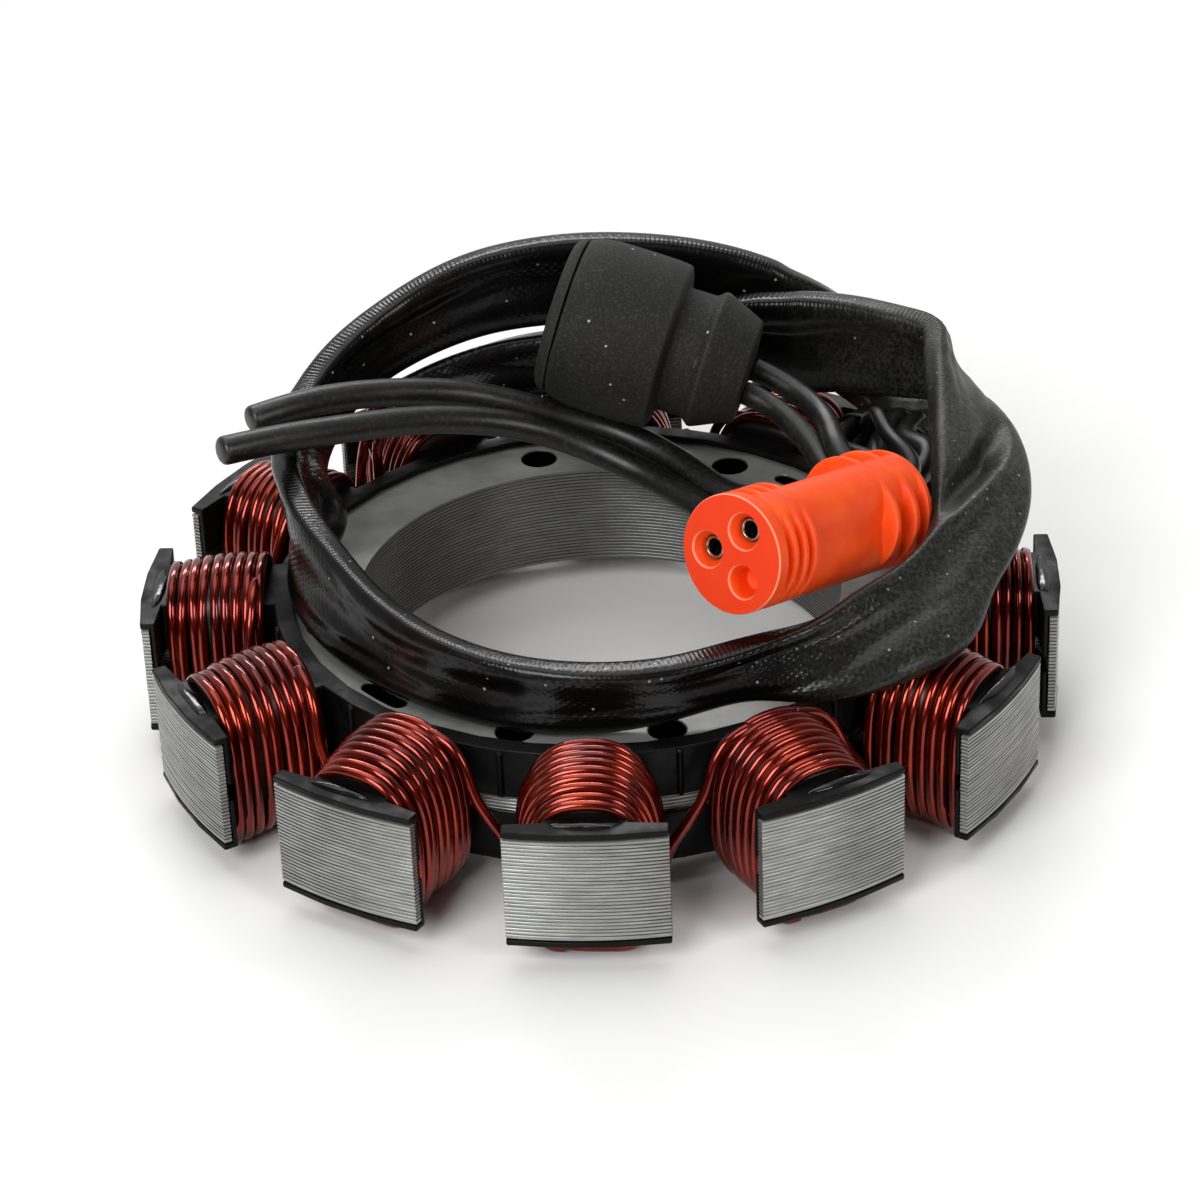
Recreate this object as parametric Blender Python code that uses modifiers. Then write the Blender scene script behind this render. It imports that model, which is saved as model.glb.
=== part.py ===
"""Wound stator of a flywheel alternator, with its lead harness.

A ring of stacked steel laminations carries twelve outward poles. Two moulded black half frames
cover it from above and below and line its slots, and each tooth carries a coil of thick enamelled
wire, two layers deep near the ring and one layer deep near the pole shoe. Crossover wires join the
coils. The winding's ends rise at the back into a black varnished sleeve, pressed flat, which curls
round on top of the coils and opens again at the right: out of its mouth come the leads of a round
rubber boot plug, of a three-hole rubber connector, and two loose leads.

Units are metres and +Z is up. The ring's axis is the Z axis, the coils touch z = 0 from above, and
the first pole faces -Y.
"""

import math

import bmesh
import bpy
import numpy as np
from mathutils import Matrix, Vector

# Lamination stack
POLES = 12
YOKE_R = 0.0440
RING_W = 0.0105
TOOTH_L = 0.0173
STACK_H = 0.01485
TOOTH_W = 0.0090
SHOE_W = 0.0211
SHOE_T = 0.0022
SHOE_TAPER = 0.0003
HOLE_R = 0.0025
HOLE_INSET = 0.0055
HOLE_AZIMUTHS = (-75, 15, 62, 105, 195, 255)
SLOT_INSET = 0.0046
SLOT_L = 0.0080
SLOT_W = 0.0022
SLOT_STRAIGHT = 0.8
SLOT_AZIMUTHS = (45, 225)

# Half frames of moulded insulation
FIT = 0.0003
FRAME_WALL = 0.0007
FRAME_T = 0.0009
FRAME_LIP = 0.0026
WINDOW_H = 0.0026

# Coils
WIRE_D = 0.0015
YOKE_SIDE_GAP = 0.0010
SHOE_SIDE_GAP = 0.0005
DEEP_BUILD = 0.0034
SHALLOW_BUILD = 0.0018
SHALLOW_TURNS = 3
RIDGE = 0.0005
CROSSOVER_SPAN = 0.9
CROSSOVER_BEND = 0.3
CROSSOVER_LEAN = 0.15
ENDS_SLOT = 7
FIRST_END_OUT = 2.3
SECOND_END_OUT = 1.0
MIDDLE_END_OUT = 0.8
DEEP_CORNER = 0.0058
SHALLOW_CORNER = 0.0028

# Sleeve, with a section between an oval and a rectangle
SLEEVE_T = 0.0047
SLEEVE_SQUARENESS = 0.6
MOUTH_T = 0.0068
MOUTH_FLARE = 0.012

# Leads
FREE_LEAD_D = 0.0035
THIN_LEAD_D = 0.0024
LEAD_STEP = 2.8
STRAIGHT_END = 1.5

# Rubber boot plug, measured along its axis from the rim of its mouth
BOOT_L = 0.0272
BOOT_R = 0.0124
BOOT_RIM_R = 0.0113
BOOT_SHOULDER = 0.0150
SHOULDER_FALL = 0.0008
SHOULDER_ROUND = 0.0004
BELLY_HIGH = 0.65
BELLY_LOW = 0.2
NECK_R = 0.0090
NECK_L = 0.0045
COLLAR_R = 0.0100
COLLAR_END_R = 0.0074
COLLAR_FLARE = 0.0006
RECESS_R = 0.0095
RECESS_DEPTH = 0.0060
FACE_DOME = 0.0018
FACE_EDGE = 0.0003
FACE_ROUND = 0.0020
BOOT_LEAD_RING_R = 0.0032
BOOT_LEAD_AZIMUTHS = (math.radians(60), math.radians(-60))

# Three-hole connector, measured along its axis from its front face
CONNECTOR_L = 0.0350
CONNECTOR_R = 0.0080
VALLEY = 0.0014
FLANGE_T = 0.0018
FRONT_RIBS = 3
FRONT_RIB_PITCH = 0.0021
REAR_RIBS = 2
REAR_RIB_PITCH = 0.0042
REAR_FLANGE_T = 0.0030
FRONT_RIB_SHARE = 0.15
REAR_RIB_SHARE = -0.25
REAR_VALLEY_SHARE = 0.8
REAR_FLANGE_SHARE = -0.1
REAR_END_SHARE = 0.2
CONTACT_RING_R = 0.0039
CONTACT_BORE_R = 0.0019
CONTACT_BORE_DEPTH = 0.0140
COUNTERBORE_R = 0.0025
COUNTERBORE_DEPTH = 0.0022
COUNTERBORE_STRAIGHT = 0.0009
BLIND_R = 0.0021
BLIND_DEPTH = 0.0040
CONTACT_WALL = 0.0004
CONTACT_L = 0.0110

# Levels and radii that follow from the sizes above
BORE_R = YOKE_R - RING_W
OUTER_R = YOKE_R + TOOTH_L + SHOE_T
HOLE_CIRCLE_R = YOKE_R - HOLE_INSET
SLOT_CIRCLE_R = YOKE_R - SLOT_INSET
STACK_LOW = DEEP_BUILD + FIT + FRAME_T + FIT
STACK_TOP = STACK_LOW + STACK_H
COIL_TOP = STACK_TOP + FIT + FRAME_T + FIT + DEEP_BUILD
FRAME_REACH = FIT + FRAME_WALL
COIL_INNER = YOKE_R + FRAME_REACH + YOKE_SIDE_GAP
COIL_OUTER = OUTER_R - SHOE_T - FRAME_REACH - SHOE_SIDE_GAP
TURNS = int((COIL_OUTER - COIL_INNER) / WIRE_D)
PITCH = (COIL_OUTER - COIL_INNER) / TURNS
POLE_ANGLE = math.tau / POLES
FIRST_POLE = -math.pi / 2
HALF_TOOTH_CLEAR = TOOTH_W / 2 + FRAME_REACH + FIT

# The sleeve's way, from where the winding's ends enter it to its mouth. A row is x, y, the height
# above the coils' tops, the width, and the lean in degrees of its flat side: 0 stands on edge, 90
# lies flat, and a positive lean tips its top outwards.
SLEEVE_ROUTE = (
    (-0.0305, 0.0380, 0.0030, 0.0080, 80),
    (-0.0225, 0.0435, 0.0040, 0.0085, 50),
    (-0.0135, 0.0473, 0.0050, 0.0090, 20),
    (-0.0030, 0.0484, 0.0056, 0.0096, 6),
    (0.0080, 0.0474, 0.0071, 0.0104, 4),
    (0.0175, 0.0456, 0.0099, 0.0126, 0),
    (0.0275, 0.0428, 0.0115, 0.0140, 0),
    (0.0355, 0.0395, 0.0123, 0.0140, 0),
    (0.0426, 0.0356, 0.0125, 0.0140, -5),
    (0.0482, 0.0300, 0.0125, 0.0140, 5),
    (0.0505, 0.0220, 0.0090, 0.0150, 25),
    (0.0525, 0.0130, 0.0080, 0.0150, 35),
    (0.0538, 0.0040, 0.0078, 0.0145, 28),
    (0.0533, -0.0035, 0.0074, 0.0135, 5),
    (0.0506, -0.0115, 0.0066, 0.0125, -20),
    (0.0452, -0.0190, 0.0062, 0.0108, -28),
    (0.0386, -0.0250, 0.0052, 0.0098, -20),
    (0.0299, -0.0297, 0.0028, 0.0098, -10),
    (0.0206, -0.0334, 0.0011, 0.0098, 0),
    (0.0110, -0.0367, 0.0004, 0.0096, 0),
    (0.0010, -0.0379, 0.0003, 0.0096, 0),
    (-0.0090, -0.0364, 0.0003, 0.0098, -5),
    (-0.0194, -0.0312, 0.0005, 0.0103, -12),
    (-0.0288, -0.0226, 0.0008, 0.0112, -20),
    (-0.0360, -0.0120, 0.0016, 0.0120, -22),
    (-0.0406, -0.0010, 0.0032, 0.0125, -5),
    (-0.0405, 0.0110, 0.0047, 0.0140, 35),
    (-0.0428, 0.0190, 0.0058, 0.0122, 22),
    (-0.0418, 0.0285, 0.0068, 0.0110, 10),
    (-0.0372, 0.0372, 0.0103, 0.0106, 2),
    (-0.0293, 0.0442, 0.0134, 0.0110, 0),
    (-0.0192, 0.0483, 0.0165, 0.0124, 0),
    (-0.0076, 0.0503, 0.0178, 0.0136, 0),
    (0.0040, 0.0520, 0.0170, 0.0140, 0),
    (0.0157, 0.0520, 0.0150, 0.0140, 2),
    (0.0270, 0.0500, 0.0112, 0.0135, 10),
    (0.0365, 0.0462, 0.0064, 0.0115, 50),
    (0.0415, 0.0420, 0.0028, 0.0105, 88),
    (0.0438, 0.0365, 0.0027, 0.0100, 90),
    (0.0426, 0.0300, 0.0031, 0.0112, 90),
    (0.0400, 0.0245, 0.0038, 0.0144, 90),
)
SLEEVE_STEP = 0.0098

# Where each lead leaves the mouth: across it, and up from its middle
FREE_LEAD_SEATS = ((-0.0042, -0.00125), (-0.00035, -0.00125))
CONNECTOR_LEAD_SEATS = ((0.0034, -0.0017), (-0.0049, 0.0019), (-0.00215, 0.0019))
BOOT_LEAD_SEATS = ((0.0006, 0.0019), (0.00335, 0.0019))

# The leads' ways from the mouth on: x, y and the height above the coils' tops
FREE_LEAD_ROUTES = (
    (
        (0.0332, 0.0189, -0.0027),
        (0.0260, 0.0152, -0.0009),
        (0.0189, 0.0172, -0.0012),
        (0.0124, 0.0250, -0.0003),
        (0.0026, 0.0317, 0.0021),
        (-0.0074, 0.0328, 0.0048),
        (-0.0133, 0.0325, 0.0069),
        (-0.0192, 0.0315, 0.0089),
        (-0.0266, 0.0282, 0.0112),
        (-0.0357, 0.0229, 0.0135),
        (-0.0430, 0.0170, 0.0150),
        (-0.0490, 0.0130, 0.0148),
    ),
    (
        (0.0365, 0.0191, -0.0023),
        (0.0340, 0.0105, -0.0006),
        (0.0270, 0.0075, -0.0018),
        (0.0195, 0.0100, -0.0021),
        (0.0137, 0.0173, -0.0019),
        (0.0052, 0.0256, -0.0008),
        (-0.0037, 0.0288, 0.0022),
        (-0.0117, 0.0286, 0.0052),
        (-0.0190, 0.0259, 0.0077),
        (-0.0262, 0.0218, 0.0100),
        (-0.0350, 0.0150, 0.0125),
        (-0.0448, 0.0082, 0.0145),
        (-0.0520, 0.0036, 0.0152),
    ),
)
CONNECTOR_LEAD_ROUTES = (
    ((0.0442, 0.0150, 0.0020), (0.0453, 0.0095, 0.0024), (0.0456, 0.0035, 0.0036)),
    ((0.0327, 0.0175, 0.0063), (0.0387, 0.0121, 0.0085), (0.0403, 0.0070, 0.0086)),
    ((0.0397, 0.0215, 0.0123), (0.0390, 0.0161, 0.0101), (0.0422, 0.0105, 0.0104), (0.0442, 0.0050, 0.0110)),
)
BOOT_LEAD_ROUTES = (
    (
        (0.0389, 0.0137, 0.0047),
        (0.0402, 0.0108, 0.0054),
        (0.0377, 0.0079, 0.0058),
        (0.0353, 0.0090, 0.0064),
        (0.0328, 0.0125, 0.0095),
        (0.0327, 0.0168, 0.0090),
        (0.0313, 0.0250, 0.0090),
        (0.0285, 0.0288, 0.0099),
    ),
    (
        (0.0479, 0.0144, 0.0080),
        (0.0432, 0.0092, 0.0050),
        (0.0385, 0.0044, 0.0039),
        (0.0340, 0.0060, 0.0050),
        (0.0319, 0.0102, 0.0057),
        (0.0308, 0.0154, 0.0072),
        (0.0286, 0.0200, 0.0087),
    ),
)

# Where the boot and the connector lie: a point on the axis, above the coils' tops, and its course
BOOT_PLACE = Vector((-0.0046, 0.0335, 0.0202))
BOOT_COURSE = Vector((0.949, -0.180, -0.258)).normalized()
CONNECTOR_PLACE = Vector((0.0186, -0.0287, 0.0163))
CONNECTOR_COURSE = Vector((0.618, 0.755, -0.222)).normalized()
CONNECTOR_ROLL = math.radians(13)

# How far a cutter runs past what it cuts
CUT_PAST = 0.001

# How finely round things are faceted
BORE_SIDES = 48
FRAME_SIDES = 36
HOLE_SIDES = 10
TIP_STEPS = 3
SLOT_STEPS = 2
TURNED_STEPS = 18
SMALL_STEPS = 10
LOBE_POINTS = 6
SLEEVE_SIDES = 10


def clear_scene():
    for thing in list(bpy.data.objects):
        bpy.data.objects.remove(thing, do_unlink=True)


def make_collection(name):
    collection = bpy.data.collections.new(name)
    bpy.context.scene.collection.children.link(collection)
    return collection


def linear(channel):
    """One sRGB channel as the linear value that a material takes."""
    if channel <= 0.04045:
        return channel / 12.92
    return ((channel + 0.055) / 1.055) ** 2.4


def make_material(name, colour, roughness, metallic=0.0):
    """A Principled material from a six-digit sRGB colour."""
    channels = [linear(int(colour[i : i + 2], 16) / 255) for i in (0, 2, 4)]
    material = bpy.data.materials.new(name)
    material.use_nodes = True
    shader = material.node_tree.nodes["Principled BSDF"]
    shader.inputs["Base Color"].default_value = (*channels, 1.0)
    shader.inputs["Roughness"].default_value = roughness
    shader.inputs["Metallic"].default_value = metallic
    material.diffuse_color = (*channels, 1.0)
    return material


def add_object(name, data, collection, material=None):
    thing = bpy.data.objects.new(name, data)
    collection.objects.link(thing)
    if material is not None and not data.materials:
        data.materials.append(material)
    return thing


def mesh_from(name, vertices, faces):
    mesh = bpy.data.meshes.new(name)
    mesh.from_pydata([tuple(v) for v in vertices], [], faces)
    work = bmesh.new()
    work.from_mesh(mesh)
    bmesh.ops.recalc_face_normals(work, faces=work.faces)
    work.to_mesh(mesh)
    work.free()
    return mesh


def smooth_mesh(mesh, angle):
    mesh.shade_smooth()
    mesh.set_sharp_from_angle(angle=math.radians(angle))


def at(radius, azimuth):
    return (radius * math.cos(azimuth), radius * math.sin(azimuth))


def pole_azimuth(index):
    return FIRST_POLE + index * POLE_ANGLE


def turned(point, azimuth):
    """A point given as (out along a pole, across it), turned to that pole's azimuth."""
    x, y = point
    return (
        x * math.cos(azimuth) - y * math.sin(azimuth),
        x * math.sin(azimuth) + y * math.cos(azimuth),
    )


def circle(radius, sides, centre=(0.0, 0.0)):
    return [
        (centre[0] + radius * math.cos(i * math.tau / sides), centre[1] + radius * math.sin(i * math.tau / sides))
        for i in range(sides)
    ]


def outline(name, loops, height, collection, material=None):
    """A flat outline with its holes, as a filled 2D curve of the given height about its middle."""
    curve = bpy.data.curves.new(name, "CURVE")
    curve.dimensions = "2D"
    curve.fill_mode = "BOTH"
    curve.extrude = height / 2
    for loop in loops:
        spline = curve.splines.new("POLY")
        spline.points.add(len(loop) - 1)
        for point, (x, y) in zip(spline.points, loop):
            point.co = (x, y, 0.0, 1.0)
        spline.use_cyclic_u = True
    return add_object(name, curve, collection, material)


def as_mesh(thing, collection, material=None):
    """The curve object turned into a closed mesh object of the same name and place."""
    bpy.context.view_layer.update()
    evaluated = thing.evaluated_get(bpy.context.evaluated_depsgraph_get())
    mesh = bpy.data.meshes.new_from_object(evaluated)
    work = bmesh.new()
    work.from_mesh(mesh)
    bmesh.ops.remove_doubles(work, verts=work.verts, dist=0.000001)
    bmesh.ops.dissolve_limit(work, angle_limit=0.001, verts=work.verts, edges=work.edges)
    work.to_mesh(mesh)
    work.free()
    name = thing.name
    place = thing.matrix_world.copy()
    bpy.data.objects.remove(thing, do_unlink=True)
    mesh.materials.clear()
    solid = add_object(name, mesh, collection, material)
    solid.matrix_world = place
    return solid


def slot_side(offset, side, proud):
    """One side of a slot in a pole's own frame, from the shoe's end to the foot of the tooth."""
    ring = YOKE_R + offset
    half = TOOTH_W / 2 + offset
    back = OUTER_R - SHOE_T - offset
    foot = math.sqrt(ring**2 - half**2)
    shoe_end = (back + SHOE_TAPER, side * (SHOE_W / 2 + proud))
    return [shoe_end, (back, side * half), (foot, side * half)]


def slot_arc(offset, index):
    """Points on the ring between the teeth on both sides of a slot, the teeth's feet left out."""
    ring = YOKE_R + offset
    foot = math.asin((TOOTH_W / 2 + offset) / ring)
    span = POLE_ANGLE - 2 * foot
    start = pole_azimuth(index) + foot
    return [at(ring, start + span * step / SLOT_STEPS) for step in range(1, SLOT_STEPS)]


def pole_outline(offset, proud=0.0):
    """The ring with its poles. The slots' walls move in by offset, the shoes' tips out by proud."""
    points = []
    radius = OUTER_R + proud
    tip = math.asin((SHOE_W / 2 + proud) / radius)
    for index in range(POLES):
        azimuth = pole_azimuth(index)
        points += [turned(point, azimuth) for point in reversed(slot_side(offset, -1, proud))]
        points += [at(radius, azimuth - tip + 2 * tip * step / TIP_STEPS) for step in range(TIP_STEPS + 1)]
        points += [turned(point, azimuth) for point in slot_side(offset, 1, proud)]
        points += slot_arc(offset, index)
    return points


def as_guide(thing):
    thing.hide_render = True
    thing.display_type = "WIRE"


def cut(thing, cutter):
    difference = thing.modifiers.new(cutter.name, "BOOLEAN")
    difference.operation = "DIFFERENCE"
    difference.solver = "EXACT"
    difference.object = cutter


def slotted_hole(azimuth):
    """A slot with round ends that follows its circle."""
    middle = math.radians(azimuth)
    half = SLOT_L / 2 / SLOT_CIRCLE_R
    inner = [at(SLOT_CIRCLE_R - SLOT_W / 2, middle + half * turn) for turn in (-SLOT_STRAIGHT, 0.0, SLOT_STRAIGHT)]
    outer = [at(SLOT_CIRCLE_R + SLOT_W / 2, middle + half * turn) for turn in (SLOT_STRAIGHT, 0.0, -SLOT_STRAIGHT)]
    return inner + [at(SLOT_CIRCLE_R, middle + half)] + outer + [at(SLOT_CIRCLE_R, middle - half)]


def lamination_stack(collection, material):
    """The laminations as one block, with its bore, mounting holes and slots."""
    loops = [pole_outline(0.0), circle(BORE_R, BORE_SIDES)]
    loops += [circle(HOLE_R, HOLE_SIDES, at(HOLE_CIRCLE_R, math.radians(a))) for a in HOLE_AZIMUTHS]
    loops += [slotted_hole(azimuth) for azimuth in SLOT_AZIMUTHS]
    stack = outline("lamination_stack", loops, STACK_H, collection, material)
    stack.location.z = STACK_LOW + STACK_H / 2
    return stack


def half_frame(name, side, collection, cutters, material):
    """A moulded half: a blank with poles like the stack's, with the stack's seat cut out of it.

    What is left is a plate over ring, teeth and shoes, and a liner in each slot that ends at the
    window half way up. side is 1 for the half on top and -1 for the one below."""
    middle = STACK_LOW + STACK_H / 2
    inner_face = STACK_H / 2 + FIT
    outer_face = inner_face + FRAME_T
    window = WINDOW_H / 2

    blank_loops = [pole_outline(FRAME_REACH), circle(YOKE_R + FRAME_REACH - FRAME_LIP, FRAME_SIDES)]
    blank = outline(name, blank_loops, outer_face - window, collection)
    blank.location.z = middle + side * (outer_face + window) / 2
    frame = as_mesh(blank, collection, material)

    seat = outline(name + "_seat", [pole_outline(FIT, CUT_PAST)], inner_face - window + CUT_PAST, cutters)
    seat.location.z = middle + side * (inner_face + window - CUT_PAST) / 2
    seat = as_mesh(seat, cutters)
    as_guide(seat)
    cut(frame, seat)
    return frame


def coil_section(build, corner, inset):
    """A coil's outer outline across its tooth, as (across, up) points round four soft corners."""
    half = HALF_TOOTH_CLEAR + build - inset
    top = COIL_TOP - DEEP_BUILD + build - inset
    low = DEEP_BUILD - build + inset
    radius = corner - inset
    points = []
    for sign, steps in ((1, (0, 45, 90)), (-1, (90, 45, 0))):
        for angle in steps:
            turn = math.radians(angle)
            across = half - radius + radius * math.cos(turn)
            up = top - radius + radius * math.sin(turn)
            points.append((sign * across, up))
    for sign, steps in ((-1, (0, 90)), (1, (90, 0))):
        for angle in steps:
            turn = math.radians(angle)
            across = half - radius + radius * math.cos(turn)
            up = low + radius - radius * math.sin(turn)
            points.append((sign * across, up))
    return points


def coil_rings():
    """The coil's outer rings from the ring's side to the shoe's: valley, crest, valley and so on."""
    rings = []
    for half_turn in range(2 * TURNS + 1):
        shallow = half_turn > 2 * (TURNS - SHALLOW_TURNS) - 1
        build = SHALLOW_BUILD if shallow else DEEP_BUILD
        corner = SHALLOW_CORNER if shallow else DEEP_CORNER
        inset = 0.0 if half_turn % 2 else RIDGE
        out = COIL_INNER + half_turn * PITCH / 2
        rings.append([(out, across, up) for across, up in coil_section(build, corner, inset)])
    return rings


def coil_mesh(material):
    """One coil along +X: a ridged loft with the tooth's rectangular way through it."""
    rings = coil_rings()
    sides = len(rings[0])
    vertices = [point for ring in rings for point in ring]
    faces = []
    for low in range(len(rings) - 1):
        for side in range(sides):
            after = (side + 1) % sides
            a = low * sides
            b = a + sides
            faces.append((a + side, a + after, b + after, b + side))
    low = DEEP_BUILD
    top = COIL_TOP - DEEP_BUILD
    hole_start = len(vertices)
    for out in (COIL_INNER, COIL_OUTER):
        for across, up in ((1, top), (-1, top), (-1, low), (1, low)):
            vertices.append((out, across * HALF_TOOTH_CLEAR, up))
    for side in range(4):
        after = (side + 1) % 4
        a = hole_start
        b = hole_start + 4
        faces.append((a + side, b + side, b + after, a + after))
    mesh = bpy.data.meshes.new("coil")
    mesh.from_pydata(vertices, [], faces)
    work = bmesh.new()
    work.from_mesh(mesh)
    for out in (COIL_INNER, COIL_OUTER):
        rim = [e for e in work.edges if e.is_boundary and all(abs(v.co.x - out) < 1e-6 for v in e.verts)]
        bmesh.ops.triangle_fill(work, use_beauty=True, edges=rim)
    bmesh.ops.recalc_face_normals(work, faces=work.faces)
    work.to_mesh(mesh)
    work.free()
    smooth_mesh(mesh, 50)
    mesh.materials.append(material)
    return mesh


def coils(collection, material):
    mesh = coil_mesh(material)
    for index in range(POLES):
        coil = add_object(f"coil_{index + 1:02d}", mesh, collection)
        coil.rotation_euler.z = pole_azimuth(index)


def smooth_rows(route, step):
    """Rows read evenly, about step apart, from a smooth curve through the route's own rows.

    Between two rows the curve is a cubic that has the route's mean slope at both of them."""
    rows = np.array(route, dtype=float)
    along = np.concatenate(([0.0], np.cumsum(np.linalg.norm(np.diff(rows[:, :3], axis=0), axis=1))))
    slopes = np.gradient(rows, along, axis=0)
    wanted = np.linspace(0.0, along[-1], max(2, round(along[-1] / step)) + 1)
    before = np.clip(np.searchsorted(along, wanted) - 1, 0, len(along) - 2)
    span = (along[before + 1] - along[before])[:, None]
    t = (wanted[:, None] - along[before][:, None]) / span
    return (
        (2 * t**3 - 3 * t**2 + 1) * rows[before]
        + (t**3 - 2 * t**2 + t) * span * slopes[before]
        + (3 * t**2 - 2 * t**3) * rows[before + 1]
        + (t**3 - t**2) * span * slopes[before + 1]
    )


def tube(name, way, diameter, resolution, collection, material):
    """A round wire or lead: a capped POLY spline through the given points."""
    curve = bpy.data.curves.new(name, "CURVE")
    curve.dimensions = "3D"
    curve.bevel_depth = diameter / 2
    curve.bevel_resolution = resolution
    curve.use_fill_caps = True
    spline = curve.splines.new("POLY")
    spline.points.add(len(way) - 1)
    for point, co in zip(spline.points, way):
        point.co = (*co, 1.0)
    spline.use_smooth = True
    return add_object(name, curve, collection, material)


def crossover_way(index):
    """From one coil's upper side down through the slot to the next coil's lower side."""
    side = HALF_TOOTH_CLEAR + DEEP_BUILD + FIT + WIRE_D / 2
    out = COIL_INNER + WIRE_D
    here = pole_azimuth(index)
    there = pole_azimuth(index + 1)
    span = CROSSOVER_SPAN * (STACK_H + FRAME_T)
    high = STACK_LOW + (STACK_H + FRAME_T + span) / 2
    levels = [high, high - CROSSOVER_BEND * span, high - (1 - CROSSOVER_BEND) * span, high - span]
    first = turned((out, side), here)
    last = turned((out, -side), there)
    lean = [0.0, CROSSOVER_LEAN, 1 - CROSSOVER_LEAN, 1.0]
    return [
        (first[0] + (last[0] - first[0]) * share, first[1] + (last[1] - first[1]) * share, level)
        for share, level in zip(lean, levels)
    ]


def crossover_wires(collection, material):
    """A wire from coil to coil in each slot except the one where the winding's ends rise."""
    slots = [index for index in range(POLES) if index != ENDS_SLOT]
    for number, index in enumerate(slots, 1):
        tube(f"crossover_wire_{number:02d}", crossover_way(index), WIRE_D, 1, collection, material)


def sleeve_frame(rows):
    """Each station's course, and the directions of its width and of its thickness."""
    course = np.gradient(rows[:, :3], axis=0)
    course /= np.linalg.norm(course, axis=1)[:, None]
    up = np.array([0.0, 0.0, 1.0])
    outward = np.cross(up, course)
    outward /= np.linalg.norm(outward, axis=1)[:, None]
    upright = up - (course @ up)[:, None] * course
    upright /= np.linalg.norm(upright, axis=1)[:, None]
    lean = np.radians(rows[:, 4])[:, None]
    width = np.cos(lean) * upright + np.sin(lean) * outward
    return course, width, np.cross(course, width)


def sleeve_stations():
    rows = smooth_rows(SLEEVE_ROUTE, SLEEVE_STEP)
    rows[:, 2] += COIL_TOP
    return rows


def lead_sleeve(rows, collection, material):
    """The flattened sleeve, lofted through flat-oval sections that change along its way."""
    _, width, thick = sleeve_frame(rows)
    length = np.concatenate(([0.0], np.cumsum(np.linalg.norm(np.diff(rows[:, :3], axis=0), axis=1))))
    flare = np.clip(1 - (length[-1] - length) / MOUTH_FLARE, 0, 1)
    thickness = SLEEVE_T + (MOUTH_T - SLEEVE_T) * flare
    turn = np.arange(SLEEVE_SIDES) * math.tau / SLEEVE_SIDES
    across = np.sign(np.cos(turn)) * np.abs(np.cos(turn)) ** SLEEVE_SQUARENESS
    through = np.sign(np.sin(turn)) * np.abs(np.sin(turn)) ** SLEEVE_SQUARENESS
    points = (
        rows[:, None, :3]
        + (rows[:, 3] / 2)[:, None, None] * across[None, :, None] * width[:, None, :]
        + (thickness / 2)[:, None, None] * through[None, :, None] * thick[:, None, :]
    )
    count = len(rows)
    faces = []
    for low in range(count - 1):
        for side in range(SLEEVE_SIDES):
            after = (side + 1) % SLEEVE_SIDES
            a = low * SLEEVE_SIDES
            b = a + SLEEVE_SIDES
            faces.append((a + side, a + after, b + after, b + side))
    faces.append(tuple(range(SLEEVE_SIDES))[::-1])
    faces.append(tuple(range((count - 1) * SLEEVE_SIDES, count * SLEEVE_SIDES)))
    mesh = mesh_from("lead_sleeve", points.reshape(-1, 3), faces)
    smooth_mesh(mesh, 60)
    return add_object("lead_sleeve", mesh, collection, material)


def coil_ends(rows, collection, material):
    """Three wires that rise in one slot and turn side by side into the sleeve's first end."""
    course, width, _ = sleeve_frame(rows)
    side = HALF_TOOTH_CLEAR + DEEP_BUILD + FIT + WIRE_D / 2
    here = pole_azimuth(ENDS_SLOT)
    feet = (
        turned((COIL_INNER + FIRST_END_OUT * WIRE_D, side), here),
        turned((COIL_INNER + SECOND_END_OUT * WIRE_D, -side), here + POLE_ANGLE),
        at(COIL_INNER + MIDDLE_END_OUT * WIRE_D, here + POLE_ANGLE / 2),
    )
    for number, (order, foot) in enumerate(zip((1, 0, -1), feet), 1):
        end = rows[0, :3] - FIT * course[0] + order * (WIRE_D + 2 * FIT) * width[0]
        entry = end - 2 * WIRE_D * course[0]
        way = [(*foot, STACK_LOW + STACK_H / 2), (*foot, STACK_TOP - WIRE_D), tuple(entry)]
        points = [tuple(point) for point in smooth_rows(way, LEAD_STEP * WIRE_D)] + [tuple(end)]
        tube(f"coil_end_{number}", points, WIRE_D, 1, collection, material)


def mouth_frame(rows):
    """The mouth's middle, its outward course, and its across and up directions."""
    course, width, thick = sleeve_frame(rows)
    up = Vector(thick[-1])
    across = Vector(width[-1])
    if up.z < 0:
        up = -up
    if across.x < 0:
        across = -across
    return Vector(rows[-1, :3]), Vector(course[-1]), across, up


def lead_way(start, route, end, diameter):
    """A lead's points: a straight start off the mouth, a smooth way, and a straight end if any.

    The route's heights are measured from the coils' tops."""
    raised = [(x, y, z + COIL_TOP) for x, y, z in route]
    middle = smooth_rows(start[1:] + raised + end[:1], LEAD_STEP * diameter)
    return start[:1] + [tuple(point) for point in middle] + end[1:]


def mouth_seats(rows, seats, diameter):
    """Two points for each lead: just off the mouth's face and a little farther out."""
    middle, course, across, up = mouth_frame(rows)
    pairs = []
    for sideways, above in seats:
        start = middle + across * sideways + up * above + course * FIT
        pairs.append([tuple(start), tuple(start + course * STRAIGHT_END * diameter)])
    return pairs


def free_leads(rows, collection, material):
    """Two loose round leads from the mouth across the bore to the far side of the sleeve."""
    starts = mouth_seats(rows, FREE_LEAD_SEATS, THIN_LEAD_D)
    for number, (start, route) in enumerate(zip(starts, FREE_LEAD_ROUTES), 1):
        way = lead_way(start, route, [], FREE_LEAD_D)
        tube(f"free_lead_{number}", way, FREE_LEAD_D, 2, collection, material)


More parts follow.
